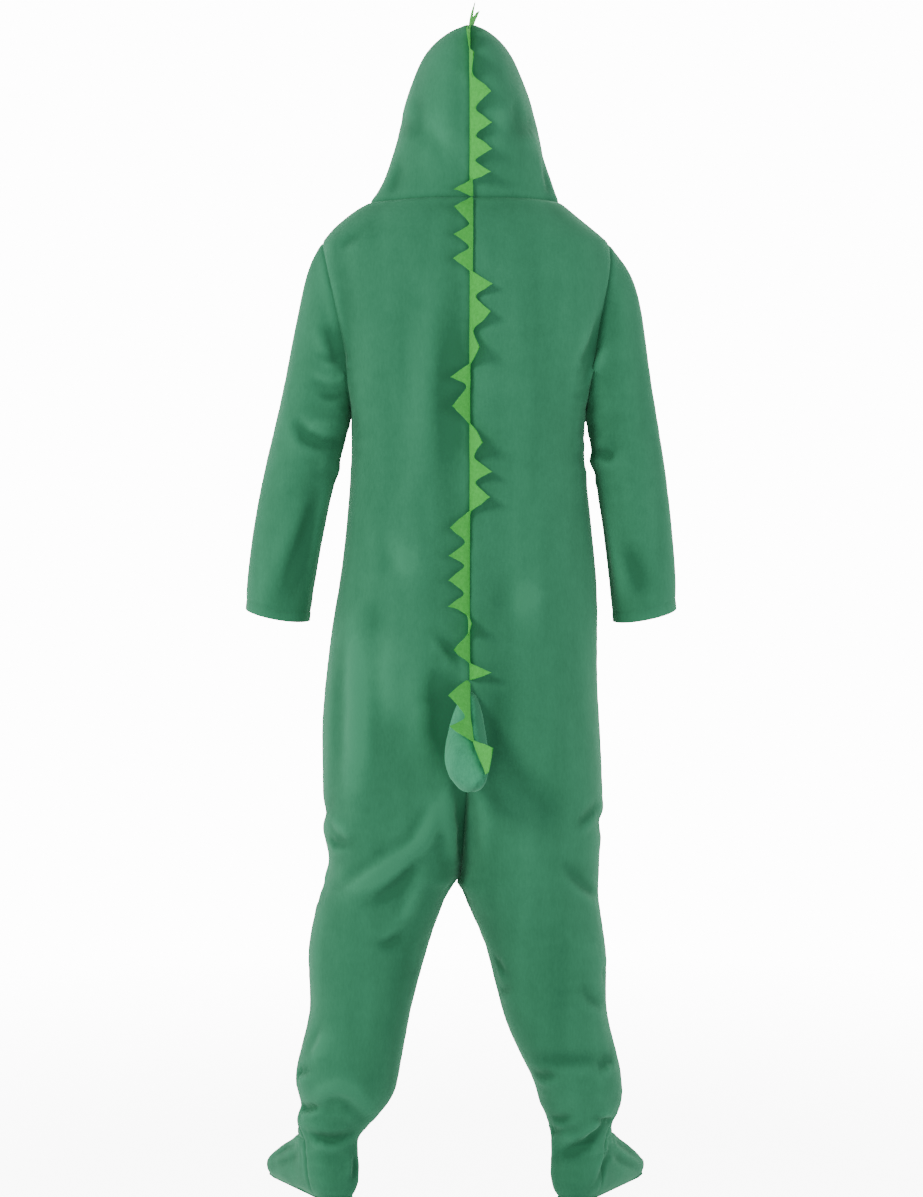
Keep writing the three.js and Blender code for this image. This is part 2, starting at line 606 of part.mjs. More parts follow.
const panels = {};
for (const side of [LEFT, RIGHT]) {
  const name = sideName(side);
  panels[side] = {
    back: backPanel(side),
    front: frontPanel(side),
    hood: { side, middleFrom: 0, grid: hoodGrid(side) },
  };
  for (const [kind, panel] of Object.entries(panels[side]))
    addPiece(`${kind}_${name}`, clothWall(panel.grid, panel), COLOURS.fleece);
  addPiece(`sleeve_${name}`, clothWall(sleeveGrid(side)), COLOURS.fleece);
  addPiece(`foot_top_${name}`, clothWall(footTopGrid(side)), COLOURS.fleece);
  addPiece(`sole_${name}`, soleGeometry(side), COLOURS.fleece);
}

// ---------------------------------------------------------------- the stuffed tail
// The room that the tail has to leave free: each back panel near the tail, from a seam gap
// outside it to well inside.
function seatRoom(side) {
  const { grid, heights } = panels[side].back;
  const near = grid.filter((_, i) => heights[i] > SEAT.bottom && heights[i] < SEAT.top);
  const room = near.map((row) => row.slice(0, SEAT.cells + 1).map((p) => p.clone()));
  room.forEach((row) => (row[0].x = -side * SEAT.pastMiddle));
  return solidOf(closedBetween(movedOut(room, SEAM_GAP), movedOut(room, -SEAT.deep)));
}

// Half of the tail: slices from inside the seat to the tip, each from the ridge round to the
// bottom, filled up to the tail's own middle seam.
function tailHalf(side) {
  const slices = [{ ...TAIL[0], ridgeOut: -TAIL_ROOT, underOut: -TAIL_ROOT }, ...TAIL.slice(1)];
  const sliceGrid = (swell) =>
    slices.map((row) =>
      Array.from({ length: TAIL_CELLS + 1 }, (_, k) => {
        const angle = (Math.PI * k) / TAIL_CELLS;
        const down = (1 - Math.cos(angle)) / 2;
        const bow = 2 * row.middleX - (row.ridgeX + row.underX) / 2;
        const middle =
          row.ridgeX * (1 - down) ** 2 + 2 * bow * down * (1 - down) + row.underX * down ** 2;
        return new THREE.Vector3(
          middle + side * (SEAM_GAP / 2 + swell * row.halfWidth * Math.sin(angle)),
          SEAT_DEPTH + row.ridgeOut + (row.underOut - row.ridgeOut) * down,
          row.ridgeZ + (row.underZ - row.ridgeZ) * down,
        );
      }),
    );
  const tip = new THREE.Vector3(TAIL_TIP.x + (side * SEAM_GAP) / 2, SEAT_DEPTH + TAIL_TIP.out, TAIL_TIP.z);
  const closed = (grid) => [...grid, grid[0].map(() => tip.clone())];
  let half = solidOf(closedBetween(closed(sliceGrid(1)), closed(sliceGrid(0))));
  for (const either of [LEFT, RIGHT]) half = half.subtract(seatRoom(either));
  return geometryOf(half);
}

for (const side of [LEFT, RIGHT]) addPiece(`tail_${sideName(side)}`, tailHalf(side), COLOURS.fleece);

// ---------------------------------------------------------------- the spikes
const ACROSS = new THREE.Vector3(1, 0, 0);

// How far the cloth bulges over the straight line between two stations of a path.
function bulgeBetween(path, from, to) {
  if (!from || !to) return 0;
  const line = new THREE.Line3(from, to);
  const bulges = path.map((p) => {
    const t = line.closestPointToPointParameter(p, false);
    return t > 0 && t < 1 ? line.at(t, new THREE.Vector3()).distanceTo(p) : 0;
  });
  return Math.max(...bulges.filter((bulge) => bulge < SPIKE_BAND), 0);
}

// A strip of spikes that stands on a path over the cloth. The spikes lean to one side or the
// other, and the strip twists between them.
function spikeStrip(path, spikes) {
  const quarters = SPIKE_OUTLINE.length;
  const total = spikes.reduce((sum, { base }) => sum + base, 0);
  const shares = [0];
  for (const { base } of spikes)
    for (let k = 0; k < quarters; k++) shares.push(shares.at(-1) + base / total / quarters);
  const stations = pointsAt(path, shares);
  const grid = stations.map((station, i) => {
    const [before, after] = [stations[i - 1], stations[i + 1]];
    const tangent = (after ?? station).clone().sub(before ?? station).normalize();
    const up = tangent.cross(ACROSS).normalize();
    const lift = Math.max(bulgeBetween(path, before, station), bulgeBetween(path, station, after));
    const own = spikes[Math.floor(i / quarters)] ?? spikes.at(-1);
    const previous = spikes[Math.floor(i / quarters) - 1] ?? own;
    const mixed = (column) =>
      i % quarters === 0 ? (own[column] + previous[column]) / 2 : own[column];
    const step = (length, degrees) => {
      const angle = THREE.MathUtils.degToRad(degrees);
      return up.clone()
        .multiplyScalar(length * Math.cos(angle))
        .addScaledVector(ACROSS, length * Math.sin(angle));
    };
    const row = [station.clone().addScaledVector(up, SEAM_GAP + FELT / 2 + lift)];
    row.push(row[0].clone().add(step(SPIKE_BAND, mixed("band"))));
    let reached = 0;
    for (const { height, lean } of SPIKE_CURL) {
      const length = (height - reached) * SPIKE_HEIGHT * SPIKE_OUTLINE[i % quarters];
      row.push(row.at(-1).clone().add(step(length, lean * mixed("lean"))));
      reached = height;
    }
    return row;
  });
  return closedBetween(movedOut(grid, FELT / 2), movedOut(grid, -FELT / 2));
}

const middlePath = (points) => points.map((p) => new THREE.Vector3(0, p.y, p.z));

const hoodRows = panels[LEFT].hood.grid;
const hoodBack = middlePath(hoodRows.map((row) => row[0]));
const hoodPath = [
  pointAtHeight(hoodBack, HOOD_STRIP_BOTTOM),
  ...hoodBack.filter((p) => p.z > HOOD_STRIP_BOTTOM),
  ...middlePath(hoodRows.at(-1).slice(1)),
];
addPiece("hood_spikes", spikeStrip(hoodPath, HOOD_SPIKES), COLOURS.felt);

const backSeam = middlePath(panels[LEFT].back.grid.map((row) => row[0]));
const backPath = [
  pointAtHeight(backSeam, BACK_STRIP.bottom),
  ...backSeam.filter((p) => p.z > BACK_STRIP.bottom && p.z < BACK_STRIP.top),
  pointAtHeight(backSeam, BACK_STRIP.top),
];
addPiece("back_spikes", spikeStrip(backPath, BACK_SPIKES), COLOURS.felt);

const tailPath = [
  new THREE.Vector3(TAIL_TIP.x, SEAT_DEPTH + TAIL_TIP.out, TAIL_TIP.z),
  ...TAIL.map((row) => new THREE.Vector3(row.ridgeX, SEAT_DEPTH + row.ridgeOut, row.ridgeZ)).reverse(),
];
addPiece("tail_spikes", spikeStrip(tailPath, TAIL_SPIKES), COLOURS.felt);

// ---------------------------------------------------------------- the zip
// A zip tape: a flat strip behind a front edge, made from that panel's own points.
function tapeGeometry(side) {
  const { grid, heights } = panels[side].front;
  const layer = (depth) =>
    grid
      .filter((_, i) => heights[i] >= ZIP_BOTTOM && heights[i] <= ZIP_TOP)
      .map(([edge, next]) =>
        [TAPE.inner, TAPE.outer].map((x) => {
          const share = (x - Math.abs(edge.x)) / Math.abs(next.x - edge.x);
          return edge.clone().lerp(next, share).add(new THREE.Vector3(0, depth, 0));
        }),
      );
  const outside = FLEECE + 2 * SEAM_GAP;
  return closedBetween(layer(outside), layer(outside + TAPE.thickness));
}

for (const side of [LEFT, RIGHT])
  addPiece(`zip_tape_${sideName(side)}`, tapeGeometry(side), COLOURS.tape);

// A flat outline in X and Z with a thickness along Y, its front at -Y.
function plate(outline, front, thickness, hole) {
  const points = (list) => list.map(([x, z]) => new THREE.Vector2(x, z));
  const shape = new THREE.Shape(points(outline));
  if (hole) shape.holes.push(new THREE.Path(points(hole)));
  return new THREE.ExtrudeGeometry(shape, { depth: thickness, bevelEnabled: false })
    .rotateX(Math.PI / 2)
    .translate(0, front + thickness, 0);
}

const SLIDER_FACE = -SLIDER.lift - SLIDER.thickness; // place of the slider's front face
const PULL_AXIS = SLIDER_FACE - (BRIDGE.reach - BRIDGE.bar) / 2;

// The slider: a tapered plate in front of the cloth, a stem in the slot and a bridge for the pull.
function sliderGeometry() {
  const { topHalf, bottomHalf, half, corner, thickness } = SLIDER;
  const outline = [
    [-bottomHalf, -half],
    [bottomHalf, -half],
    [topHalf, half - corner],
    [topHalf - corner, half],
    [corner - topHalf, half],
    [-topHalf, half - corner],
  ];
  const stemFront = SLIDER_FACE + thickness / 2;
  const stem = new THREE.BoxGeometry(2 * STEM.half, STEM.back - stemFront, 2 * STEM.halfHeight);
  stem.translate(0, (STEM.back + stemFront) / 2, 0);
  const arch = new THREE.Shape();
  arch.absellipse(0, 0, BRIDGE.half, BRIDGE.reach, 0, Math.PI, false);
  arch.lineTo(-BRIDGE.half, -BRIDGE.sunk);
  arch.lineTo(BRIDGE.bar - BRIDGE.half, -BRIDGE.sunk);
  arch.absellipse(0, 0, BRIDGE.half - BRIDGE.bar, BRIDGE.reach - BRIDGE.bar, Math.PI, 0, true);
  arch.lineTo(BRIDGE.half - BRIDGE.bar, -BRIDGE.sunk);
  arch.lineTo(BRIDGE.half, -BRIDGE.sunk);
  const bridge = new THREE.ExtrudeGeometry(arch, {
    depth: BRIDGE.width,
    bevelEnabled: false,
    curveSegments: 10,
  });
  bridge.translate(0, 0, -BRIDGE.width / 2).rotateY(Math.PI / 2).rotateX(Math.PI);
  bridge.translate(0, SLIDER_FACE, 0);
  const solids = [plate(outline, SLIDER_FACE, thickness), stem, bridge].map(solidOf);
  return geometryOf(solids[0].add(solids[1]).add(solids[2]));
}

// The pull tab, hanging down from its axis.
function pullGeometry() {
  const { half, waist, length, thickness, bar, corner } = PULL;
  const right = [
    [half, bar],
    [half, -bar - EYE.length - corner],
    [waist, -bar - EYE.length - 3 * corner],
    [half, -length + corner],
    [half - corner, bar - length],
  ];
  const left = right.map(([x, z]) => [-x, z]).reverse();
  const eye = [
    [EYE.half, -bar],
    [EYE.half, -bar - EYE.length],
    [-EYE.half, -bar - EYE.length],
    [-EYE.half, -bar],
  ];
  return plate([...left, ...right].reverse(), -thickness / 2, thickness, eye);
}

// The slider's place: on the front edges at its height, leaning with the chest.
const frontEdge = panels[LEFT].front.grid.map((row) => row[0]);
const sliderRow = panels[LEFT].front.heights.indexOf(SLIDER_HEIGHT);
const along = frontEdge[sliderRow + 1].clone().sub(frontEdge[sliderRow - 1]);
const zipper = new THREE.Group();
zipper.position.set(0, frontEdge[sliderRow].y, frontEdge[sliderRow].z);
zipper.rotation.x = -Math.atan2(along.y, along.z);
costume.add(zipper);
addPiece("zip_slider", sliderGeometry(), COLOURS.metal, zipper);
addPiece("zip_pull", pullGeometry(), COLOURS.metal, zipper).position.y = PULL_AXIS;

export default costume;
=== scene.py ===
# %% [markdown]
# # A hooded crocodile all-in-one
# The garment is sewn from panels of green fleece: two backs, two fronts, two sleeves, two hood
# halves and a foot with a top and a sole on each leg. A stuffed tail sits on the seat, strips of
# felt spikes stand on the hood, the back and the tail, and a zip closes the front. It hangs as
# it does on a wearer, but nobody is in it.
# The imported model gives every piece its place. This script makes the fine surface: soft folds,
# seams, hems, pile, and the small parts of the zip.

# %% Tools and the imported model
import math

import bpy
import numpy as np
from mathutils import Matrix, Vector, bvhtree, kdtree, noise


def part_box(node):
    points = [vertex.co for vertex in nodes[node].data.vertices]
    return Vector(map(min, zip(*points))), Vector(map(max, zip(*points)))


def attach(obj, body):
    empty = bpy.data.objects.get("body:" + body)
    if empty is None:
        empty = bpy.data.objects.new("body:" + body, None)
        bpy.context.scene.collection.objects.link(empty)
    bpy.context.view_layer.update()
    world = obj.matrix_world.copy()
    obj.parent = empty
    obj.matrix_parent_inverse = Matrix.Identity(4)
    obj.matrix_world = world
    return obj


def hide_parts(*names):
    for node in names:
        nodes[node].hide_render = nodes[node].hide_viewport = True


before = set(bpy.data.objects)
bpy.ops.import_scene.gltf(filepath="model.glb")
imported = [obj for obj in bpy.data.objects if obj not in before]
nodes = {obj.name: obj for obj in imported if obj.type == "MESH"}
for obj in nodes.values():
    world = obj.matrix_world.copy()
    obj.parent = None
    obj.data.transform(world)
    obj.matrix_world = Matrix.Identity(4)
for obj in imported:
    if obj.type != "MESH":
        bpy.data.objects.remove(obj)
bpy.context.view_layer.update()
MM = 0.001
SIDES = {"left": 1, "right": -1}  # of the wearer, along X
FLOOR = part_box("sole_left")[0].z
print(len(nodes), "nodes, from the floor at", round(FLOOR, 3), "m")

# %% [markdown]
# ## Camera, light and floor
# The camera looks level at the garment's back from a few metres away, so the perspective is mild.
# The floor is one wide disc. It takes a faint shade under the garment and fades to the white of
# the world further out, so no horizon shows. Both look brighter than their light.

# %% Camera
CAMERA_PLACE = Vector((0.0125, 4.5, -0.557))
VIEW_ANGLE = math.radians(23.5)  # from the top to the bottom of the frame
SENSOR = 24

bpy.ops.object.camera_add(location=CAMERA_PLACE, rotation=(math.pi / 2, 0, math.pi))
camera = bpy.context.object
camera.data.sensor_fit = "VERTICAL"
camera.data.sensor_height = SENSOR
camera.data.lens = SENSOR / 2 / math.tan(VIEW_ANGLE / 2)
bpy.context.scene.camera = camera
print("lens", round(camera.data.lens, 1), "mm")

# %% Lights
MIDDLE = Vector((0, 0, -0.55))
# name: place, size in metres, power in watts, colour
LIGHTS = {
    "key": ((2.4, 2.8, 1.1), 1.2, 82, (1, 0.985, 0.96)),
    "left_edge": ((2.6, -0.2, -0.4), 1.6, 30, (1, 1, 1)),
    "right_edge": ((-2.6, -0.2, -0.4), 1.6, 24, (1, 1, 1)),
    "fill": ((-2.4, 3.0, -0.3), 2.0, 32, (0.96, 0.98, 1)),
    "front_key": ((-1.8, -3.4, 1.2), 1.8, 60, (1, 0.985, 0.96)),
    "front_fill": ((2.2, -3.0, 0.2), 2.0, 34, (0.96, 0.98, 1)),
    "top": ((0, 0.2, 2.6), 2.2, 12, (1, 1, 1)),
}
for name, (place, size, power, colour) in LIGHTS.items():
    aim = (MIDDLE - Vector(place)).to_track_quat("-Z", "Y").to_euler()
    bpy.ops.object.light_add(type="AREA", location=place, rotation=aim)
    light = bpy.context.object
    light.name = name
    light.data.shape = "DISK"
    light.data.size = size
    light.data.energy = power
    light.data.color = colour
print(len(LIGHTS), "area lights")

# %% [markdown]
# ## Writing finishes as sums
# A finish is a tree of nodes. To write it as a formula, a small class wraps a socket, and its
# operators add the Math nodes.


# %% A socket as a value, and a finish
class Value:
    """A number on its way through a finish."""

    def __init__(self, finish, socket):
        self.finish = finish
        self.socket = socket

    def __add__(self, other):
        return self.finish.math("ADD", self, other)

    def __sub__(self, other):
        return self.finish.math("SUBTRACT", self, other)

    def __rsub__(self, other):
        return self.finish.math("SUBTRACT", other, self)

    def __mul__(self, other):
        return self.finish.math("MULTIPLY", self, other)

    __radd__ = __add__
    __rmul__ = __mul__

    def clipped(self):
        return self.finish.node("Clamp", inputs={"Value": self})


class Finish:
    """A material, its Principled shader, and ways to add nodes to it."""

    def __init__(self, name):
        self.material = bpy.data.materials.new(name)
        self.material.use_nodes = True
        self.tree = self.material.node_tree
        self.shader = self.tree.nodes["Principled BSDF"]

    def feed(self, node, inputs):
        for key, value in inputs.items():
            if isinstance(value, Value):
                self.tree.links.new(value.socket, node.inputs[key])
            else:
                node.inputs[key].default_value = value

    def node(self, kind, settings=None, inputs=None, output=0):
        made = self.tree.nodes.new("ShaderNode" + kind)
        for key, value in (settings or {}).items():
            setattr(made, key, value)
        self.feed(made, inputs or {})
        return Value(self, made.outputs[output])

    def math(self, operation, first, second):
        return self.node("Math", {"operation": operation}, {0: first, 1: second})

    def place(self):
        return self.node("TexCoord", output="Object")

    def stretched(self, scale):
        return self.node("Mapping", inputs={"Vector": self.place(), "Scale": scale})

    def noise(self, size, detail=3, rough=0.55, vector=None):
        """Noise whose grain is size metres across."""
        inputs = {"Vector": vector or self.place(), "Scale": 1 / size}
        return self.node("TexNoise", inputs={**inputs, "Detail": detail, "Roughness": rough})

    def mix(self, first, second, share):
        return self.node("Mix", {"data_type": "RGBA"}, {0: share, 6: first, 7: second}, output=2)

    def attribute(self, name):
        return self.node("Attribute", {"attribute_name": name}, output="Fac")

    def bump(self, height, distance, strength):
        inputs = {"Height": height, "Distance": distance, "Strength": strength}
        return self.node("Bump", inputs=inputs)

    def surface(self, inputs):
        self.feed(self.shader, inputs)
        return self.material


print("finishes are formulas")

# %% World
SEEN = 14.0  # brightness of the world and the far floor behind the garment
LIGHTING = 0.24  # brightness of the light that the world gives
WHITE = (1, 1, 1, 1)
world = bpy.data.worlds.new("studio")
bpy.context.scene.world = world
world.use_nodes = True
sky = world.node_tree
background = sky.nodes["Background"]
ray = sky.nodes.new("ShaderNodeLightPath")
choose = sky.nodes.new("ShaderNodeMix")
choose.inputs["A"].default_value = LIGHTING
choose.inputs["B"].default_value = SEEN
sky.links.new(ray.outputs["Is Camera Ray"], choose.inputs["Factor"])
sky.links.new(choose.outputs["Result"], background.inputs["Strength"])
background.inputs["Color"].default_value = WHITE
print("world set")

# %% Floor
PALE = (0.86, 0.87, 0.88, 1)
FLOOR_RADIUS = 40
FADE_START = 0.7  # metres from the middle
FADE_END = 3.0
NEAR_GLOW = 0.65  # share of the glow close to the garment
UPLIGHT = 0.9  # brightness of the light that the floor gives
bpy.ops.mesh.primitive_circle_add(vertices=96, radius=FLOOR_RADIUS, fill_type="NGON",
                                  location=(0, 0, FLOOR))
floor = bpy.context.object
floor.name = "floor"
ground = Finish("pale floor")
distance = ground.node("VectorMath", {"operation": "LENGTH"}, {0: ground.place()}, output="Value")
reach = {"Value": distance, "From Min": FADE_START, "From Max": FADE_END, "To Min": NEAR_GLOW}
fade = ground.node("MapRange", inputs=reach)
seen = ground.node("LightPath", output="Is Camera Ray")
bright = UPLIGHT + seen * (SEEN - UPLIGHT)
glow = ground.node("Emission", inputs={"Color": WHITE, "Strength": bright})
matt = Value(ground, ground.shader.outputs[0])
ground.surface({"Base Color": PALE, "Roughness": 0.7})
faded = ground.node("MixShader", inputs={0: fade, 1: matt, 2: glow})
output = ground.tree.nodes["Material Output"]
ground.tree.links.new(faded.socket, output.inputs["Surface"])
floor.data.materials.append(ground.material)
print("floor fades out by", FADE_END, "m")

# %% [markdown]
# ## The fleece
# Fleece is a knit with a brushed pile. It is matt, with a soft light rim where the pile is seen
# edge-on, and its colour drifts where the pile lies another way. So the finish has several grains
# of noise: the pile, streaks down the garment, and wide clouds and washes. Painted shade darkens
# the hollows and a painted highlight lightens the ridges, from an attribute that the folds write.


# %% Fleece finish
def fleece(name, shade, light):
    finish = Finish(name)
    pile = finish.noise(1.1 * MM, 4, 0.7)
    streaks = finish.noise(3.2 * MM, 3, 0.6, finish.stretched((1, 1, 0.3)))
    clouds = finish.noise(34 * MM, 4, 0.55)
    washes = finish.noise(55 * MM, 2, 0.5, finish.stretched((1, 1, 0.16)))
    # painted shade in the hollows of folds and seams, and a painted highlight on raised cloth
    painted_shade_and_highlight = finish.attribute("painted_shade_and_highlight")
    grain = (streaks - 0.5) * 0.5 + (pile - 0.5) * 0.5
    lying = 0.5 + (clouds - 0.5) * 0.35 + (washes - 0.5) * 0.9 + grain
    colour = finish.mix(shade, light, (lying - painted_shade_and_highlight * 0.75).clipped())
    relief = pile * 0.6 + streaks * 0.4
    return finish.surface({
        "Base Color": colour,
        "Roughness": 0.92,
        "Specular IOR Level": 0.18,
        "Sheen Weight": 0.4,
        "Sheen Roughness": 0.45,
        "Sheen Tint": (0.4, 0.95, 0.62, 1),
        "Normal": finish.bump(relief, 0.5 * MM, 0.55),
    })


GREEN_SHADE = (0.022, 0.152, 0.074, 1)
GREEN_LIGHT = (0.05, 0.272, 0.142, 1)
# The tail's colours are the body's green made brighter: painted light on the tail, which catches
# more light than the body.
TAIL_SHADE_WITH_PAINTED_LIGHT = (0.026, 0.19, 0.096, 1)
TAIL_LIGHT_WITH_PAINTED_LIGHT = (0.082, 0.56, 0.29, 1)
green = fleece("green fleece", GREEN_SHADE, GREEN_LIGHT)
tail_fleece_with_painted_light = fleece("tail fleece with painted light", TAIL_SHADE_WITH_PAINTED_LIGHT, TAIL_LIGHT_WITH_PAINTED_LIGHT)
print("fleece finishes made")


# %% Felt, tape and thread finishes
def felt(name, shade, light):
    finish = Finish(name)
    fibres = finish.noise(0.7 * MM, 5, 0.75)
    matted = finish.noise(5 * MM, 4, 0.65)
    lying = 0.5 + (matted - 0.5) * 0.9 + (fibres - 0.5) * 0.8
    # painted shade from the same attribute as on the fleece; the strips write zeros into it
    colour = finish.mix(shade, light, (lying - finish.attribute("painted_shade_and_highlight") * 0.6).clipped())
    return finish.surface({
        "Base Color": colour,
        "Roughness": 0.9,
        "Specular IOR Level": 0.2,
        "Sheen Weight": 0.12,
        "Sheen Roughness": 0.5,
        "Sheen Tint": (0.5, 1, 0.4, 1),
        "Normal": finish.bump(fibres * 0.7 + matted * 0.3, 0.4 * MM, 0.6),
    })


def woven(name, shade, light, pitch):
    """Tape or thread: fine ribs across its length."""
    finish = Finish(name)
    ribs = finish.node(
        "TexWave",
        {"wave_type": "BANDS", "bands_direction": "Z"},
        {"Vector": finish.place(), "Scale": 0.314 / pitch, "Distortion": 0.6, "Detail": 2},
        output="Fac",
    )
    dust = finish.noise(1.5 * MM)
    colour = finish.mix(shade, light, (ribs * 0.6 + dust * 0.4).clipped())
    return finish.surface({
        "Base Color": colour,
        "Roughness": 0.75,
        "Specular IOR Level": 0.25,
        "Normal": finish.bump(ribs, 0.2 * MM, 0.5),
    })


lime = felt("lime felt", (0.03, 0.33, 0.035, 1), (0.1, 0.64, 0.1, 1))
tape = woven("zip tape", (0.02, 0.1, 0.052, 1), (0.045, 0.18, 0.1, 1), 1.1 * MM)
thread = woven("green thread", (0.03, 0.15, 0.075, 1), (0.07, 0.27, 0.15, 1), 0.5 * MM)
print("felt, tape and thread made")


# %% Metal finish
def nickel():
    finish = Finish("satin nickel")
    brushed = finish.noise(0.6 * MM, 4, 0.6, finish.stretched((1, 1, 0.15)))
    wear = finish.noise(4 * MM, 3)
    colour = finish.mix((0.5, 0.5, 0.48, 1), (0.72, 0.71, 0.68, 1), wear)
    return finish.surface({
        "Base Color": colour,
        "Metallic": 1.0,
        "Roughness": 0.22 + brushed * 0.22,
        "Normal": finish.bump(brushed, 0.05 * MM, 0.4),
    })


metal = nickel()
print(metal.name, "made")

# %% [markdown]
# ## From a packed panel to smooth cloth
# A packed panel is a closed wall. The cloth is made from its outer skin alone: in a merged copy of
# quads, a flood over faces that meet almost flat picks that skin, because the wall's rim turns away
# sharply. Subdivision makes it smooth. Corners such as the armpit get a vertex crease, so that
# neighbouring panels keep the same corner.


# %% Selecting and copying
def only(*pieces):
    bpy.ops.object.select_all(action="DESELECT")
    for piece in pieces:
        piece.select_set(True)
    bpy.context.view_layer.objects.active = pieces[0]


def mode(name):
    bpy.ops.object.mode_set(mode=name)


def copy_of(node, name):
    """A new object with a merged copy of a node's mesh, and its triangles joined to quads."""
    mesh = nodes[node].data.copy()
    mesh.materials.clear()
    piece = bpy.data.objects.new(name, mesh)
    bpy.context.scene.collection.objects.link(piece)
    only(piece)
    if mesh.has_custom_normals:
        bpy.ops.mesh.customdata_custom_splitnormals_clear()
    mode("EDIT")
    bpy.ops.mesh.select_all(action="SELECT")
    bpy.ops.mesh.remove_doubles(threshold=0.01 * MM)
    bpy.ops.mesh.tris_convert_to_quads(face_threshold=math.pi, shape_threshold=math.pi)
    mode("OBJECT")
    return piece


def vectors_of(mesh, kind):
    values = np.empty(3 * len(mesh.vertices))
    mesh.vertices.foreach_get(kind, values)
    return values.reshape(-1, 3)


def points_of(mesh):
    return vectors_of(mesh, "co")


def normals_of(mesh):
    return vectors_of(mesh, "normal")


def set_points(mesh, points):
    mesh.vertices.foreach_set("co", np.ascontiguousarray(points).ravel())
    mesh.update()


def write(mesh, name, values):
    attribute = mesh.attributes.get(name) or mesh.attributes.new(name, "FLOAT", "POINT")
    attribute.data.foreach_set("value", np.asarray(values, dtype=np.float32))


def apply(piece, kind, **settings):
    """Adds a modifier with these settings and applies it."""
    only(piece)
    modifier = piece.modifiers.new(kind.lower(), kind)
    for key, value in settings.items():
        setattr(modifier, key, value)
    bpy.ops.object.modifier_apply(modifier=modifier.name)


def join_flat(piece, degrees):
    """Joins the faces that meet almost flat."""
    only(piece)
    mode("EDIT")
    bpy.ops.mesh.select_all(action="SELECT")
    bpy.ops.mesh.dissolve_limited(angle_limit=math.radians(degrees))
    mode("OBJECT")


def bevel(piece, width, degrees, segments=1):
    """Rounds the edges that turn by more than this many degrees."""
    turn = math.radians(degrees)
    apply(piece, "BEVEL", width=width, segments=segments, limit_method="ANGLE", angle_limit=turn)


def repeat(piece, count, step):
    """Stacks copies of a piece upwards."""
    apply(piece, "ARRAY", count=count, use_relative_offset=False, use_constant_offset=True,
          constant_offset_displace=(0, 0, step))


def bell(distance, wide, place=0):
    """1 at a place, and falling off on both sides of it."""
    return np.exp(-(((distance - place) / wide) ** 2))


print("helpers ready")


# %% The outer skin
FLAT_ENOUGH = math.radians(55)


def keep_outer_skin(piece):
    """Deletes all but the outer skin. Returns its area, and its share of the whole surface."""
    mesh = piece.data
    faces = mesh.polygons
    middle = Vector(points_of(mesh).mean(0))
    typical = float(np.median([face.area for face in faces]))
    large = [face for face in faces if face.area > typical / 2]
    seed = max(large, key=lambda face: face.normal.dot(face.center - middle)).index
    before = sum(face.area for face in faces)
    only(piece)
    mode("EDIT")
    bpy.ops.mesh.select_mode(type="FACE")
    bpy.ops.mesh.select_all(action="DESELECT")
    mode("OBJECT")
    mesh.polygons[seed].select = True
    mesh.polygons.active = seed
    mode("EDIT")
    bpy.ops.mesh.faces_select_linked_flat(sharpness=FLAT_ENOUGH)
    bpy.ops.mesh.select_all(action="INVERT")
    bpy.ops.mesh.delete(type="FACE")
    mode("OBJECT")
    kept = sum(face.area for face in mesh.polygons)
    return kept, kept / before


def open_edges(mesh):
    """The vertex pairs of the edges that only one face uses."""
    used = np.empty(len(mesh.loops), dtype=int)
    mesh.loops.foreach_get("edge_index", used)
    pairs = np.empty(2 * len(mesh.edges), dtype=int)
    mesh.edges.foreach_get("vertices", pairs)
    return pairs.reshape(-1, 2)[np.bincount(used, minlength=len(mesh.edges)) == 1]


SHARP_TURN = math.radians(35)


def keep_corners(mesh):
    """Creases each vertex where the open edge turns sharply. Returns how many there are."""
    points = points_of(mesh)
    ways = {}
    for a, b in open_edges(mesh):
        ways.setdefault(a, []).append(points[b] - points[a])
        ways.setdefault(b, []).append(points[a] - points[b])
    crease = np.zeros(len(points))
    for vertex, sides in ways.items():
        if len(sides) == 2:
            first, second = (side / np.linalg.norm(side) for side in sides)
            crease[vertex] = math.acos(float(np.clip(-(first @ second), -1, 1))) > SHARP_TURN
    write(mesh, "crease_vert", crease)
    return int(crease.sum())


print("a skin goes on over turns up to", round(math.degrees(FLAT_ENOUGH)), "degrees")

# %% [markdown]
# ## Cutting the skins
# The table gives the rectangle of cloth that each piece is cut from, in metres. Three subdivisions
# give a point about every four millimetres: enough for a soft fold.

# %% Every panel's smooth skin
# width and length, for the left piece and for the right one
PANELS = {
    "back": (0.40, 1.72),
    "front": (0.40, 1.58),
    "sleeve": (0.50, 0.60),
    "hood": (0.34, 0.36),
    "foot_top": (0.34, 0.20),
}
CUTS = {f"{kind}_{side}": cut for kind, cut in PANELS.items() for side in SIDES}
SMOOTHING = 3
skins = {}
for node in CUTS:
    skin = copy_of(node, node + "_cloth")
    area, share = keep_outer_skin(skin)
    corners = keep_corners(skin.data)
    cells = len(skin.data.polygons)
    apply(skin, "SUBSURF", levels=SMOOTHING, render_levels=SMOOTHING,
          boundary_smooth="PRESERVE_CORNERS")
    skins[node] = skin
    print(node, cells, "cells", corners, "corners", f"area {area:.3f} m2, share {share:.2f},",
          f"of the cut {area / CUTS[node][0] / CUTS[node][1]:.2f}")

# %% [markdown]
# ## All the cloth as one set of points
# Folds run over seams, so the displacement is worked out for all panels together: one array of
# points, one of normals. At a seam, two panels have points in almost the same place. They share one
# place and one normal, so that the seam stays shut.

# %% Points, normals and rims of all skins
order = list(skins)
sizes = [len(skins[node].data.vertices) for node in order]
starts = np.concatenate([[0], np.cumsum(sizes)])
cloth = np.concatenate([points_of(skins[node].data) for node in order])
normal = np.concatenate([normals_of(skins[node].data) for node in order])
owner = np.repeat(np.arange(len(order)), sizes)
rims = np.unique(np.concatenate([
    open_edges(skins[node].data).ravel() + start for node, start in zip(order, starts)
]))
print(len(cloth), "points,", len(rims), "of them on edges")

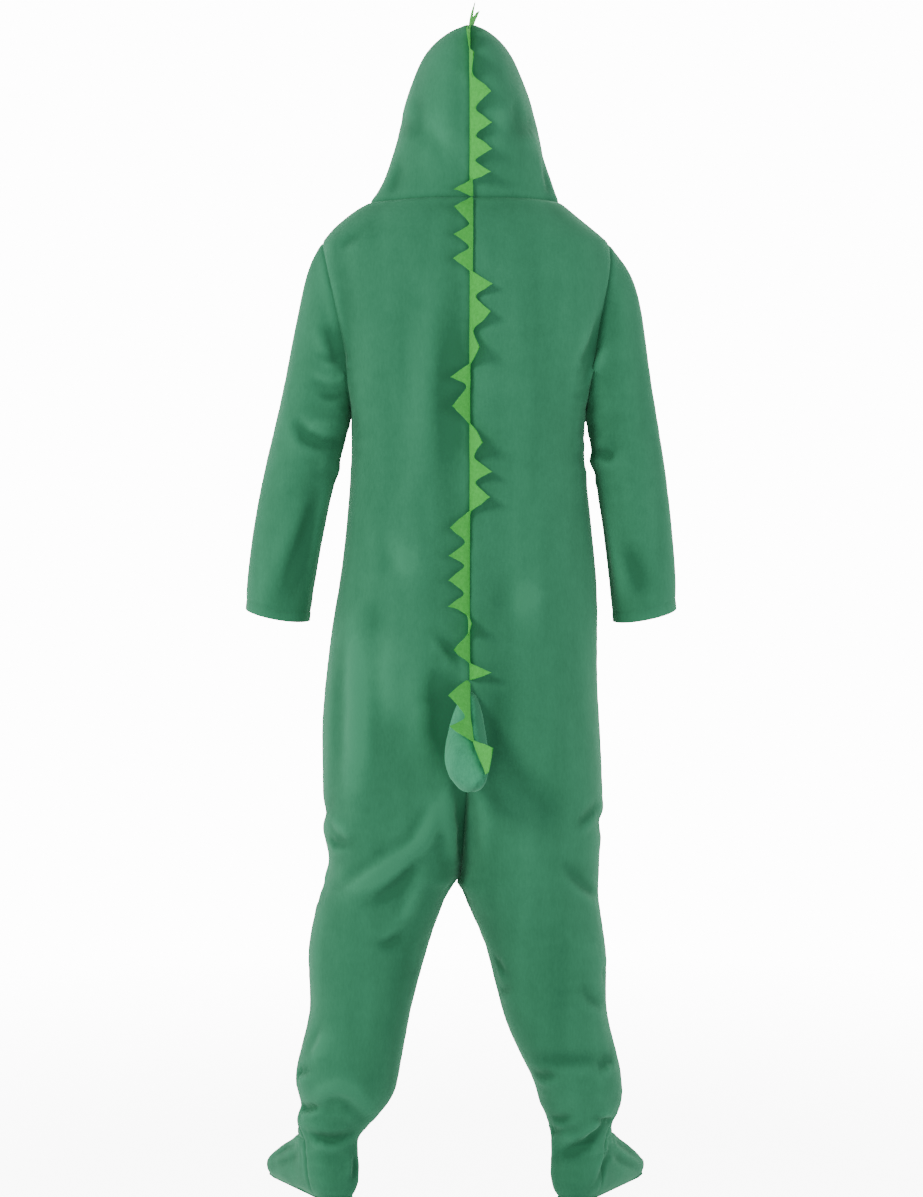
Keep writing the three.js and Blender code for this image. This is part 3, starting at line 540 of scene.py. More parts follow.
# %% Which edges are sewn together
SEAM_REACH = 2.5 * MM  # to a point of another panel
CROSSING_REACH = 5 * MM  # to the panels that meet where two seams cross
CORNER = 1.8 * MM  # how far a panel's corner may be drawn into the crossing
OWN_REACH = 0.8 * MM  # to a point of the same panel, as along the underarm
SOLE_REACH = 8 * MM  # height of what is sewn to a sole


def tree_of(points):
    tree = kdtree.KDTree(len(points))
    for index, point in enumerate(points):
        tree.insert(point, index)
    tree.balance()
    return tree


# under the zip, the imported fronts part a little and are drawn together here
ZIP_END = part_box("zip_tape_left")[0].z + 3 * MM
PARTED = 45 * MM  # how far under the zip's end
BESIDE_ZIP = 4 * MM
front_panels = [order.index("front_left"), order.index("front_right")]
under_zip = (cloth[:, 2] < ZIP_END) & (cloth[:, 2] > ZIP_END - PARTED)
under_zip &= np.isin(owner, front_panels) & (np.abs(cloth[:, 0]) < BESIDE_ZIP)
cloth[rims[under_zip[rims]], 0] = 0

rim_tree = tree_of(cloth[rims])
sewn = np.zeros(len(rims), dtype=bool)
shared_normal = normal.copy()
shared_place = cloth.copy()
for i, rim in enumerate(rims):
    near = [
        rims[j]
        for _, j, gap in rim_tree.find_range(cloth[rim], SEAM_REACH)
        if gap < OWN_REACH or owner[rims[j]] != owner[rim]
    ]
    sewn[i] = len(near) > 1 or cloth[rim, 2] < FLOOR + SOLE_REACH
    if len(near) > 1:
        total = normal[near].sum(0)
        shared_normal[rim] = total / np.linalg.norm(total)
        others = [k for k in near if k != rim]
        closest = min(others, key=lambda k: np.linalg.norm(cloth[k] - cloth[rim]))
        shared_place[rim] = (cloth[rim] + cloth[closest]) / 2
    of_panel = {}
    for point, j, _ in rim_tree.find_range(cloth[rim], CROSSING_REACH):
        of_panel.setdefault(owner[rims[j]], point)  # the range comes sorted by distance
    crossing = np.mean([point[:] for point in of_panel.values()], 0)
    if len(of_panel) > 2 and np.linalg.norm(crossing - cloth[rim]) < CORNER:
        shared_place[rim] = crossing
normal = shared_normal
cloth = shared_place
print(int(sewn.sum()), "sewn edge points,", int((~sewn).sum()), "on hems and openings")


# %% How far every point lies from a seam and from a hem
def distance_to(targets):
    tree = tree_of(targets)
    return np.array([tree.find(point)[2] for point in cloth])


from_seam = distance_to(cloth[rims[sewn]])
from_hem = distance_to(cloth[rims[~sewn]])
print("widest panel middle is", round(from_seam.max() * 1000), "mm from a seam")

# %% [markdown]
# ## Folds
# Each fold is a soft line on the cloth: where it starts, a point that it passes, where it ends,
# how high it stands (or how deep, if negative) and how wide it is. Its place is as it looks from
# one side, in millimetres: across, and up from the floor. The cloth near the line moves along its
# normals. A fold is steeper on one side, has a shallow dip beside it and dies away at its ends.


# %% Reading a table
def table(columns, rows):
    """Lines of numbers under named columns. A line with a # says what the rows below it are."""
    names = columns.split()
    lines = [line.split() for line in rows.splitlines() if "#" not in line]
    return [dict(zip(names, map(float, line))) for line in lines if line]


FOLD = "a0 h0 a1 h1 a2 h2 raised wide"
# Folds on the back, as the camera sees them. Across is positive to the wearer's left.
BACK_FOLDS = table(FOLD, """
# hood
70 1702 41 1661 11 1619 2 15
84 1724 82 1694 70 1662 -2 18
-66 1712 -72 1688 -64 1650 -2 18
-40 1722 -44 1676 -34 1636 2 18
109 1619 117 1587 122 1562 -2.5 12
-114 1619 -120 1587 -124 1561 -2.5 10
# along the spine
25 1400 34 1259 39 1118 -4 24
-22 1478 -28 1353 -25 1212 2 26
# left armhole and elbow
210 1494 197 1400 188 1290 -3 18
227 1368 210 1325 191 1282 -5 12
203 1478 188 1494 166 1501 -2.5 10
241 1318 216 1306 191 1312 -2.5 6
244 1289 219 1275 191 1279 2.5 7
238 1256 213 1247 191 1253 -2.5 6
277 1220 250 1184 211 1173 -4 11
269 1218 238 1198 213 1196 4 12
# right armhole and elbow
-216 1415 -197 1337 -174 1251 -3 14
-200 1368 -188 1329 -172 1290 -4 10
-217 1329 -200 1303 -185 1275 3.5 9
-196 1162 -211 1156 -227 1162 -5 8
# lower sleeves
235 1095 264 1009 296 926 -4 17
219 1134 235 1056 253 931 2.5 14
-239 1024 -256 978 -271 931 -4 16
-210 1087 -225 1009 -239 915 2.5 14
# hips and round the tail
109 1017 100 993 97 965 3 18
163 934 152 899 147 865 -2 24
180 890 176 760 184 600 5 24
122 890 124 810 118 720 3 20
150 800 152 700 160 610 -2 20
50 830 50 760 42 680 -6 20
53 877 34 854 17 829 -3 7
20 660 12 590 14 520 -7 13
48 640 36 580 30 520 3 12
-34 800 -42 740 -36 670 -2 18
-62 690 -92 640 -130 612 -1.5 20
-92 965 -88 934 -83 902 3 20
# thighs
58 620 68 566 118 520 6 12
108 534 152 500 200 470 4 12
82 524 112 486 156 456 -5 11
74 500 90 455 112 424 3 12
103 408 124 396 145 391 -3.5 8
-14 640 -20 585 -26 530 2.5 14
-169 579 -186 594 -205 610 -4 9
-150 510 -178 485 -202 468 -4 9
222 560 208 548 190 546 -4 7
216 590 200 572 186 570 3 8
# knees and calves
-36 377 -47 358 -61 343 -3 7
-44 321 -55 319 -67 324 -2.5 7
-175 322 -194 305 -210 297 -3 9
# left ankle and foot
221 258 231 235 247 210 4 12
285 199 266 192 246 199 -4 7
247 139 199 164 149 116 5 12
266 139 252 135 234 140 -7 6
254 96 222 86 186 92 -6 8
181 64 178 42 183 22 -4 8
269 78 292 72 321 61 -3 7
264 66 288 53 314 44 -2.5 7
# right ankle and foot
-91 217 -156 208 -225 219 -3 10
-199 194 -214 205 -228 219 -4 8
-217 119 -185 84 -136 63 -7 9
-230 119 -216 115 -198 118 -6 6
-99 190 -116 186 -136 192 -4 8
-126 122 -142 118 -160 124 -4 7
-111 108 -130 99 -150 105 -3 7
-217 72 -211 47 -200 22 -4 8
-224 86 -247 77 -272 63 -3 7
-219 69 -239 53 -264 44 -2.5 7
""")
print(len(BACK_FOLDS), "folds on the back")

# %% Folds on the front and the sides
FRONT_FOLDS = table(FOLD, """
# armpits and chest
176 1290 150 1345 112 1392 -4 13
180 1262 142 1292 96 1310 3 16
178 1242 140 1232 98 1236 -3 12
-172 1286 -146 1338 -118 1378 -4 12
-175 1258 -136 1280 -92 1288 3 15
-174 1236 -142 1222 -104 1226 -2.5 11
# waist and hips
150 1040 130 960 118 880 -3 24
-152 1060 -140 980 -120 900 -3 22
60 940 66 860 58 790 2.5 20
-48 930 -60 850 -56 770 2.5 20
# fan from the crotch
14 560 74 606 150 622 -6 13
18 590 62 660 118 716 4 15
22 530 86 540 170 566 4 13
-14 560 -70 600 -140 628 -6 13
-18 596 -56 668 -104 724 4 15
-20 528 -82 546 -160 556 4 13
# knees
100 398 140 372 196 380 -4 12
112 352 150 338 200 350 3 11
-66 392 -106 370 -160 384 -4 12
-74 350 -116 334 -168 344 3 11
# shins and ankles
140 250 190 226 240 236 -3 10
-110 246 -160 222 -210 232 -3 10
158 146 206 118 252 132 -6 10
160 172 206 158 256 164 4 11
-132 142 -178 116 -222 130 -6 10
-128 170 -174 156 -224 162 4 11
# elbows
232 1172 262 1150 300 1168 -4 10
236 1138 268 1124 306 1130 3 10
-214 1168 -244 1148 -284 1164 -4 10
-218 1134 -248 1120 -290 1128 3 10
262 1080 284 1010 300 940 -3 15
-236 1080 -258 1010 -276 940 -3 15
""")
# From the wearer's left and right side. Across is positive to the back.
LEFT_FOLDS = table(FOLD, """
-50 1196 -8 1176 44 1190 -4 10
-44 1156 0 1144 46 1150 3 10
-30 1010 -14 966 -6 930 -3 12
-84 620 -20 596 60 612 -4 14
-70 520 0 500 76 512 3 14
-64 380 -6 356 60 372 -3 11
-62 132 4 106 62 118 -5 10
-150 30 -110 40 -60 64 -3 9
80 1640 40 1668 -10 1672 -3 14
-60 1590 -40 1640 -44 1690 3 13
""")
RIGHT_FOLDS = table(FOLD, """
-48 1184 -4 1166 46 1176 -4 10
-42 1146 4 1132 48 1140 3 10
-32 1020 -16 972 -8 934 -3 12
-80 606 -16 584 62 600 -4 14
-68 500 2 484 74 498 3 14
-60 372 -2 350 62 362 -3 11
-60 126 6 102 60 116 -5 10
-146 32 -104 44 -58 68 -3 9
76 1646 36 1664 -8 1660 -3 14
-58 1596 -36 1644 -40 1690 3 13
""")
VIEWS = {"back": BACK_FOLDS, "front": FRONT_FOLDS, "left": LEFT_FOLDS, "right": RIGHT_FOLDS}
print(sum(map(len, VIEWS.values())), "folds in all")


# %% Laying a fold on the cloth
FACING = {"back": (0, 1, 0), "front": (0, -1, 0), "left": (1, 0, 0), "right": (-1, 0, 0)}
FACES_VIEW = 0.25  # the least that a normal points towards the side it is seen from
STATIONS = 33  # points along a fold


def seen_from(view, points):
    """Across and up of each point, as it looks from a side. From the back it is seen in the
    camera's perspective, on the garment's middle plane."""
    if view == "back":
        share = CAMERA_PLACE.y / (CAMERA_PLACE.y - points[:, 1])
        across = CAMERA_PLACE.x + (points[:, 0] - CAMERA_PLACE.x) * share
        up = CAMERA_PLACE.z + (points[:, 2] - CAMERA_PLACE.z) * share
        return np.column_stack([across, up])
    return points[:, [0, 2]] if view == "front" else points[:, [1, 2]]


def laid_on_cloth(view, fold):
    """The places and normals of a fold's stations."""
    t = np.linspace(0, 1, STATIONS)[:, None]
    start, through, end = (
        np.array([fold["a" + n] * MM, fold["h" + n] * MM + FLOOR]) for n in "012"
    )
    bend = 2 * through - (start + end) / 2
    line = (1 - t) ** 2 * start + 2 * t * (1 - t) * bend + t**2 * end
    gaps = ((line[:, None] - outlook[view][None]) ** 2).sum(2)
    nearest = facing[view][gaps.argmin(1)]
    places = cloth[nearest]
    for _ in range(2):
        places[1:-1] = (places[:-2] + places[1:-1] + places[2:]) / 3
    return places, normal[nearest]


facing = {
    view: np.flatnonzero(normal @ np.array(way) > FACES_VIEW) for view, way in FACING.items()
}
outlook = {view: seen_from(view, cloth[index]) for view, index in facing.items()}
print({view: len(index) for view, index in facing.items()})


# %% The relief of one fold
REACH = 3  # the widths round a fold within which it moves the cloth
STEEP, GENTLE = 1.25, 0.8  # its two sides
DIP, DIP_PLACE, DIP_WIDTH = 0.3, 1.7, 0.75  # of its height, and in widths
ENDS = 0.04  # the share of its length at each end where it is lowest


def relief_of(view, fold):
    """The points that a fold moves, and how far."""
    places, ways = laid_on_cloth(view, fold)
    wide = fold["wide"] * MM
    reach = REACH * wide
    inside = ((cloth > places.min(0) - reach) & (cloth < places.max(0) + reach)).all(1)
    touched = np.flatnonzero(inside)
    offsets = cloth[touched][:, None] - places[None]
    gaps = (offsets**2).sum(2)
    nearest = gaps.argmin(1)
    offset = offsets[np.arange(len(touched)), nearest]
    way = ways[nearest]
    along = np.gradient(places, axis=0)[nearest]
    along /= np.linalg.norm(along, axis=1)[:, None] + 1e-9
    beyond = (offset * along).sum(1)
    inner = (nearest > 0) & (nearest < STATIONS - 1)
    beyond[inner] = 0
    side = (np.cross(along, way) * offset).sum(1) / wide
    away = np.sqrt(np.maximum(0, gaps[np.arange(len(touched)), nearest])) / wide
    crest = bell(away * np.where(side > 0, STEEP, GENTLE), 1)
    dip = -DIP * bell(side, DIP_WIDTH, DIP_PLACE) * bell(beyond, wide)
    t = nearest / (STATIONS - 1)
    fade = np.sin(np.pi * np.clip(t, ENDS, 1 - ENDS)) ** 0.7
    same_side = np.clip((normal[touched] * way).sum(1) * 1.6 - 0.2, 0, 1)
    return touched, fold["raised"] * MM * fade * (crest + dip) * same_side


DEPTH_OF_FOLDS = 1.2  # all folds together
moved = np.zeros(len(cloth))
for view, folds in VIEWS.items():
    for fold in folds:
        touched, relief = relief_of(view, fold)
        moved[touched] += DEPTH_OF_FOLDS * relief
print(f"folds move the cloth {moved.min() * 1000:.1f} to {moved.max() * 1000:.1f} mm")

# %% [markdown]
# ## Drape, puckers and seams
# Between the folds, wide noise lets the cloth drift by a millimetre or two. Where the garment
# bends, at the armpits, elbows, crotch, knees and ankles, small creases gather. Along a seam the
# stitches draw the cloth into a narrow valley, and it puckers on both sides. A hem is two layers,
# so it is a bit thicker, and its stitches press a shallow line into it.

# %% Where small creases gather
ZONES = table("across deep height reach amount", """
190 0 1225 85 1.5
-186 0 1225 85 1.5
262 0 1160 80 1.2
-245 0 1155 80 1.2
0 60 560 120 0.6
0 -60 560 120 1.6
150 0 370 90 0.9
-115 0 365 90 0.9
210 10 112 75 2.0
-180 10 108 75 2.0
232 -90 60 70 1.0
-200 -90 60 70 1.0
0 130 720 80 0.5
""")


def noise_at(points, grain):
    """Smooth noise from -1 to 1 whose grain is given along X, Y and Z, in metres."""
    scaled = points / np.array(grain)
    return np.array([noise.noise(Vector(point)) for point in scaled])


def creases_at(points, grain):
    """Noise with sharp soft lines: its ridges are where plain noise crosses zero."""
    return 0.45 - np.abs(noise_at(points, grain)) * 1.6


ELSEWHERE = 0.12  # how much of the creases there is away from the zones
# height in millimetres, a shift of the noise, and its grain in metres
DRIFTS = ((2.2, 0, (0.085, 0.085, 0.26)), (0.9, 3, (0.04, 0.04, 0.11)))
CREASE_GRAIN = (0.05, 0.05, 0.022)
amount = np.full(len(cloth), ELSEWHERE)
for zone in ZONES:
    centre = np.array([zone["across"] * MM, zone["deep"] * MM, zone["height"] * MM + FLOOR])
    gap = np.linalg.norm(cloth - centre, axis=1)
    amount += zone["amount"] * bell(gap, zone["reach"] * MM)
drift = sum(height * noise_at(cloth + shift, grain) for height, shift, grain in DRIFTS)
small = creases_at(cloth + 7, CREASE_GRAIN) * amount
moved += (drift + small) * MM
print("drift is up to", round(np.abs(drift).max(), 1), "mm")

# %% Seams and hems
SEAM_DEPTH = 1.3 * MM
SEAM_WIDTH = 2.3 * MM
FOOT_EDGE = 30 * MM  # above the floor, where the sole's seam is flatter
HEM = 16 * MM  # from the edge to its row of stitches
HEM_EXTRA = 1.4 * MM  # thickness of the turned-in layer
ALLOWANCE = 9 * MM  # from a seam to where its turned-in edge lies under the cloth
PUCKER = 0.8 * MM
PUCKER_GRAIN = (0.012, 0.012, 0.012)

raised_seam = np.clip((cloth[:, 2] - FLOOR) / FOOT_EDGE, 0.15, 1)
valley = -SEAM_DEPTH * raised_seam * bell(from_seam, SEAM_WIDTH)
shoulder = 0.6 * MM * raised_seam * bell(from_seam, 5 * MM, ALLOWANCE)
pucker = PUCKER * noise_at(cloth + 11, PUCKER_GRAIN) * np.exp(-from_seam / ALLOWANCE)
pucker *= from_seam > 1 * MM
stitched = -0.9 * MM * bell(from_hem, 2.4 * MM, HEM)
rolled = 0.7 * MM * np.clip(1 - from_hem / HEM, 0, 1)
moved += valley + shoulder + pucker + stitched + rolled
shaped = cloth + normal * moved[:, None]
print("seam valleys", round(SEAM_DEPTH * 1000, 1), "mm deep")

# %% Painted shade in hollows and painted highlight on ridges, from how far the cloth lies below or above its surroundings
DARKEST = 4.5 * MM  # a hollow as deep as this gets the full painted shade
fold_like = moved - drift * MM
painted_shade_and_highlight = np.clip(-fold_like / DARKEST, -0.8, 1)
print(f"hollow from {painted_shade_and_highlight.min():.2f} to {painted_shade_and_highlight.max():.2f}")


# %% Thickness
def finished(piece, body, slot, *replaced):
    """Attaches a piece to the body that it rides on, and hides the nodes it stands for. slot is not
    used.
    """
    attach(piece, body)
    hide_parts(*replaced)


def smooth(piece, degrees=40):
    only(piece)
    bpy.ops.object.shade_smooth_by_angle(angle=math.radians(degrees))


FLEECE = 2 * MM
for index, node in enumerate(order):
    skin = skins[node]
    part = slice(starts[index], starts[index + 1])
    set_points(skin.data, shaped[part])
    apply(skin, "SOLIDIFY", thickness=FLEECE, offset=-1)
    points = points_of(skin.data)
    layer = FLEECE + HEM_EXTRA * np.clip(1.3 - from_hem[part] / HEM, 0, 1)
    count = sizes[index]
    points[count:] = points[:count] - normal[part] * layer[:, None]
    set_points(skin.data, points)
    # painted shade in hollows and painted highlight on ridges, for the finish to read
    write(skin.data, "painted_shade_and_highlight", np.concatenate([painted_shade_and_highlight[part], painted_shade_and_highlight[part]]))
    skin.data.materials.append(green)
    smooth(skin)
    finished(skin, "garment", "fleece", node)
print("walls are", round(FLEECE * 1000, 1), "mm thick")

# %% [markdown]
# ## Soles
# A sole is a flat piece of the same fleece. Its edge is rounded, because cloth has no sharp edge.

# %% Soles
for side in SIDES:
    sole = copy_of("sole_" + side, f"sole_{side}_cloth")
    join_flat(sole, 4)
    bevel(sole, 1.2 * MM, 50, segments=3)
    sole.data.materials.append(green)
    smooth(sole)
    finished(sole, "garment", "fleece", "sole_" + side)

# %% [markdown]
# ## The stuffed tail
# The tail is a bag of the same fleece, filled with wadding that pushes out evenly. So the cloth is
# simulated with a little pressure inside and no weight, while the edge on the seat holds still.
# Its seam is pressed in afterwards: it is where the blank is close to both packed halves.

# %% The tail's blank
TAIL_VOXEL = 5 * MM
SEAT_DEPTH = 0.018  # metres of the tail's foot inside the seat
halves = [copy_of("tail_left", "tail_cloth"), copy_of("tail_right", "tail_right_half")]
only(*halves)
bpy.ops.object.join()
tail = bpy.context.object
apply(tail, "REMESH", mode="VOXEL", voxel_size=TAIL_VOXEL)
apply(tail, "SMOOTH", factor=0.5, iterations=4)
tail_blank = points_of(tail.data)
tail_blank_normals = normals_of(tail.data)
seat_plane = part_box("tail_left")[0].y + SEAT_DEPTH
print(len(tail_blank), "points, seat at y", round(seat_plane, 3))

# %% Where the tail is sewn
TAIL_SEAM_WIDTH = 3.5 * MM


def gap_to(node, points):
    mesh = nodes[node].data
    corners = [vertex.co for vertex in mesh.vertices]
    solid = bvhtree.BVHTree.FromPolygons(corners, [face.vertices for face in mesh.polygons])
    return np.array([solid.find_nearest(Vector(point))[3] for point in points])


to_other_half = np.maximum(gap_to("tail_left", tail_blank), gap_to("tail_right", tail_blank))
write(tail.data, "seam", bell(to_other_half, TAIL_SEAM_WIDTH))
print(int((to_other_half < TAIL_SEAM_WIDTH).sum()), "points near the seam")

# %% Pressure inside
TAIL_SWELL = 4 * MM  # the most that a point moves
PRESSURE = 4
STIFFNESS = 20
FRAMES = 20
HELD = 20 * MM  # from the seat to where the cloth is free


def inflate(piece, blank, pinned):
    group = piece.vertex_groups.new(name="seat")
    for index, weight in enumerate(pinned):
        group.add([index], float(weight), "REPLACE")
    cloth_modifier = piece.modifiers.new("stuffing", "CLOTH")
    settings = cloth_modifier.settings
    settings.vertex_group_mass = group.name
    settings.use_pressure = True
    settings.uniform_pressure_force = PRESSURE
    settings.effector_weights.gravity = 0
    settings.tension_stiffness = STIFFNESS
    settings.compression_stiffness = STIFFNESS
    for number in range(1, FRAMES + 1):
        bpy.context.scene.frame_set(number)
    only(piece)
    bpy.ops.object.modifier_apply(modifier=cloth_modifier.name)
    bpy.context.scene.frame_set(1)
    step = points_of(piece.data) - blank
    length = np.linalg.norm(step, axis=1)[:, None] + 1e-9
    set_points(piece.data, blank + step * np.minimum(1, TAIL_SWELL / length))


held = np.clip(1 - (tail_blank[:, 1] - seat_plane) / HELD, 0, 1)
inflate(tail, tail_blank, held)
apply(tail, "SUBSURF", levels=1, render_levels=1)
print("tail now has", len(tail.data.vertices), "points")

# %% Seam and finish of the tail
TAIL_SEAM_DEPTH = 1.8 * MM
points = points_of(tail.data)
tail_seam = np.empty(len(points), dtype=np.float32)
tail.data.attributes["seam"].data.foreach_get("value", tail_seam)
dimples = 0.9 * MM * noise_at(points, (0.022, 0.022, 0.03))
sunk = -TAIL_SEAM_DEPTH * tail_seam + dimples
set_points(tail.data, points + normals_of(tail.data) * sunk[:, None])
print(f"tail spans {points[:, 0].min():.3f} to {points[:, 0].max():.3f}")
tail.data.materials.append(tail_fleece_with_painted_light)
shade_painted_on_far_side = np.clip(-normals_of(tail.data)[:, 0] * 1.4, 0, 1)  # painted shade on the side away from the light
# painted shade along the seam and on the side away from the light
write(tail.data, "painted_shade_and_highlight", tail_seam * 0.5 + shade_painted_on_far_side * 0.9)
smooth(tail)
finished(tail, "garment", "fleece", "tail_left", "tail_right")

# %% [markdown]
# ## Felt spikes
# Each strip is one length of felt cut to a zigzag. Its tips and valleys are creased so that they
# stay pointed. The sewn edge goes down into the seam, and the whole strip follows the cloth under
# it. Felt is stiff, so each spike curls in one sweep away from the cloth, most at its tip.

# %% Edges of a closed thin piece
SHORT = 1.35  # thicknesses that an edge across the strip's rim is long at most
TIP_TURN = math.radians(24)
EDGE_TURN = math.radians(60)
EDGE_CREASE = 0.6


def edge_angles(mesh):
    """The angle between the two faces of every edge of a closed mesh."""
    faces = np.repeat(np.arange(len(mesh.polygons)), [len(f.vertices) for f in mesh.polygons])
    edges = np.empty(len(mesh.loops), dtype=int)
    mesh.loops.foreach_get("edge_index", edges)
    by_edge = faces[np.argsort(edges, kind="stable")]
    ways = np.array([face.normal[:] for face in mesh.polygons])[by_edge]
    return np.arccos(np.clip((ways[0::2] * ways[1::2]).sum(1), -1, 1))


def keep_outline(mesh, thickness):
    """Creases the tips and valleys of a flat piece's outline, and its edges a little less."""
    angles = edge_angles(mesh)
    pairs = np.array([edge.vertices[:] for edge in mesh.edges])
    points = points_of(mesh)
    length = np.linalg.norm(points[pairs[:, 0]] - points[pairs[:, 1]], axis=1)
    across = (length < SHORT * thickness) & (angles > TIP_TURN)
    crease = np.zeros(len(points))
    crease[pairs[across].ravel()] = 1
    write(mesh, "crease_vert", crease)
    edge_crease = mesh.attributes.new("crease_edge", "FLOAT", "EDGE")
    sharp = (angles > EDGE_TURN) & ~across
    edge_crease.data.foreach_set("value", np.where(sharp, EDGE_CREASE, 0).astype(np.float32))
    return int(across.sum())


# %% Sewing a strip down
SUNK = 0.8 * MM  # how far the sewn edge reaches under the bottom of the seam
NEAR_MIDDLE = 1.5 * MM


def sew_down(mesh, blank, blank_normals, surface, surface_normals, stands):
    """Moves a strip with the surface under it, and its edge below stands into the seam."""
    blank_tree, surface_tree = tree_of(blank), tree_of(surface)
    points = points_of(mesh)
    sewn_down = 0
    for index, point in enumerate(points):
        under = blank_tree.find(point)[1]
        over = surface_tree.find(point)[1]
        way = surface_normals[over]
        height = (point - blank[under]) @ blank_normals[under]
        risen = (surface[over] - blank[under]) @ way
        if height < stands:
            risen -= height + SUNK
            sewn_down += 1
        points[index] = point + way * risen
    set_points(mesh, points)
    return sewn_down


on_middle = rims[np.abs(cloth[rims, 0]) < NEAR_MIDDLE]
behind = [order.index(node) for node in ("back_left", "back_right", "hood_left", "hood_right")]
on_middle = on_middle[np.isin(owner[on_middle], behind)]
middle_seam = (cloth[on_middle], normal[on_middle], shaped[on_middle], normal[on_middle])
tail_surface = (tail_blank, tail_blank_normals, points_of(tail.data), normals_of(tail.data))
print(len(on_middle), "points on the middle seam")

# %% Ends of the strips at the neck
NECK_SEAM = 60.1 * MM  # its height on the middle seam
END_ROW = 3 * MM  # from a strip's end to the last point of its end row


def reach_neck(mesh, end_of):
    """Draws the lowest or highest end of a strip over the cloth to the neck seam."""
    points = points_of(mesh)
    end = end_of(points[:, 2])
    row = np.abs(points[:, 2] - end) < END_ROW
    by_height = np.argsort(middle_seam[0][:, 2])
    heights, depths = middle_seam[0][by_height, 2], middle_seam[0][by_height, 1]
    points[row, 1] += np.interp(NECK_SEAM, heights, depths) - np.interp(end, heights, depths)
    points[row, 2] += NECK_SEAM - end
    set_points(mesh, points)
    return int(row.sum())


print("strips meet", round(NECK_SEAM * 1000), "mm above the shoulders")

# %% Spikes
FELT = 1.6 * MM
STRIP_WIDTH = 39 * MM  # band and spike
CURL = 9 * MM  # of a tip away from the cloth
CURL_GRAIN = (1, 1, 0.019)  # about a spike's width upwards, so that each curls on its own
WOBBLE = 1.6 * MM
WOBBLE_GRAIN = (0.014, 0.014, 0.014)
FILLED = 0.6  # the share of the strip's rectangle that is felt
# node: length in metres, what it is sewn to, how high its packed edge may stand, and which end
# meets the neck seam
STRIPS = {
    "hood_spikes": (0.46, middle_seam, 4.4 * MM, np.min),
    "back_spikes": (0.78, middle_seam, 4.4 * MM, np.max),
    "tail_spikes": (0.19, tail_surface, 6 * MM, None),
}
for node, (length, surfaces, stands, neck_end) in STRIPS.items():
    strip = copy_of(node, node + "_felt")
    if neck_end:
        print(node, reach_neck(strip.data, neck_end), "end points drawn to the neck seam")
    corners = keep_outline(strip.data, FELT)
    sewn_down = sew_down(strip.data, *surfaces, stands)
    apply(strip, "SUBSURF", levels=2, render_levels=2)
    points = points_of(strip.data)
    under = tree_of(surfaces[2])
    height = np.array([under.find(point)[2] for point in points]) / STRIP_WIDTH
    curl = CURL * (0.6 + noise_at(points, CURL_GRAIN)) * np.clip(height, 0, 1) ** 2
    wobble = noise_at(points, WOBBLE_GRAIN) * WOBBLE * np.clip(height * 3, 0, 1)
    points[:, 1] += np.maximum(curl, 0) + wobble * 0.5
    points[:, 2] += wobble - curl * 0.5
    set_points(strip.data, points)
    write(strip.data, "painted_shade_and_highlight", np.zeros(len(points)))
    strip.data.materials.append(lime)
    smooth(strip, 50)
    finished(strip, "garment", "felt", node)
    felt_area = FILLED * STRIP_WIDTH * length
    print(node, corners, "corners,", sewn_down, "of its points sewn down")

# %% [markdown]
# ## The zip
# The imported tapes, slider and pull have their true places. Their edges are bevelled here, and the
# teeth and stops are made between the tapes.

# %% Tapes, slider and pull
# node: body, slot, finish and width of its bevels
HARDWARE = {
    "zip_tape_left": ("garment", "zip_tape", tape, 0.15 * MM),
    "zip_tape_right": ("garment", "zip_tape", tape, 0.15 * MM),
    "zip_slider": ("garment", "zip_metal", metal, 0.3 * MM),
    "zip_pull": ("pull_tab", "zip_metal", metal, 0.3 * MM),
}
for node, (body, slot, finish, width) in HARDWARE.items():
    piece = copy_of(node, node + "_finished")
    join_flat(piece, 1)
    bevel(piece, width, 35, segments=2)
    piece.data.materials.append(finish)
    smooth(piece)
    finished(piece, body, slot, node)
print("zip hardware ready")

# %% [markdown]
# A tooth is a small bevelled block that grips its tape's edge and reaches over the middle. An Array
# makes a row of them, which is laid along the tape where that bows out over the chest. The rows of
# the two tapes are half a pitch apart.

# %% Teeth and stops
PITCH = 3 * MM
TOOTH = Vector((3.4, 2.2, 1.3)) * MM
TOP_STOP = Vector((2.4, 2.4, 5)) * MM
BOTTOM_STOP = Vector((6, 2.6, 4)) * MM
BITE = 0.7 * MM  # from the middle to a tooth's own middle
FORWARD = -0.1 * MM  # of the metal, from the tapes' faces
END_GAP = 4 * MM  # from the slider to a top stop, and from the first tooth to the bottom stop
slider_low, slider_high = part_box("zip_slider")
tape_low, tape_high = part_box("zip_tape_left")
tape_points = points_of(nodes["zip_tape_left"].data)
inner_edge = tape_points[tape_points[:, 0] < 1 * MM]
inner_edge = inner_edge[np.lexsort((inner_edge[:, 1], inner_edge[:, 2].round(4)))]
levels, firsts = np.unique(inner_edge[:, 2].round(4), return_index=True)
tape_front = inner_edge[firsts, 1]


def block(name, size, place):
    bpy.ops.object.select_all(action="DESELECT")
    bpy.ops.mesh.primitive_cube_add(size=1, location=place)
    made = bpy.context.object
    made.name = name
    bpy.ops.transform.resize(value=size)
    bpy.ops.object.transform_apply(location=True, rotation=True, scale=True)
    bevel(made, 0.3 * MM, 30)
    return made


def lay_on_tape(piece):
    points = points_of(piece.data)
    points[:, 1] += np.interp(points[:, 2], levels, tape_front)
    set_points(piece.data, points)


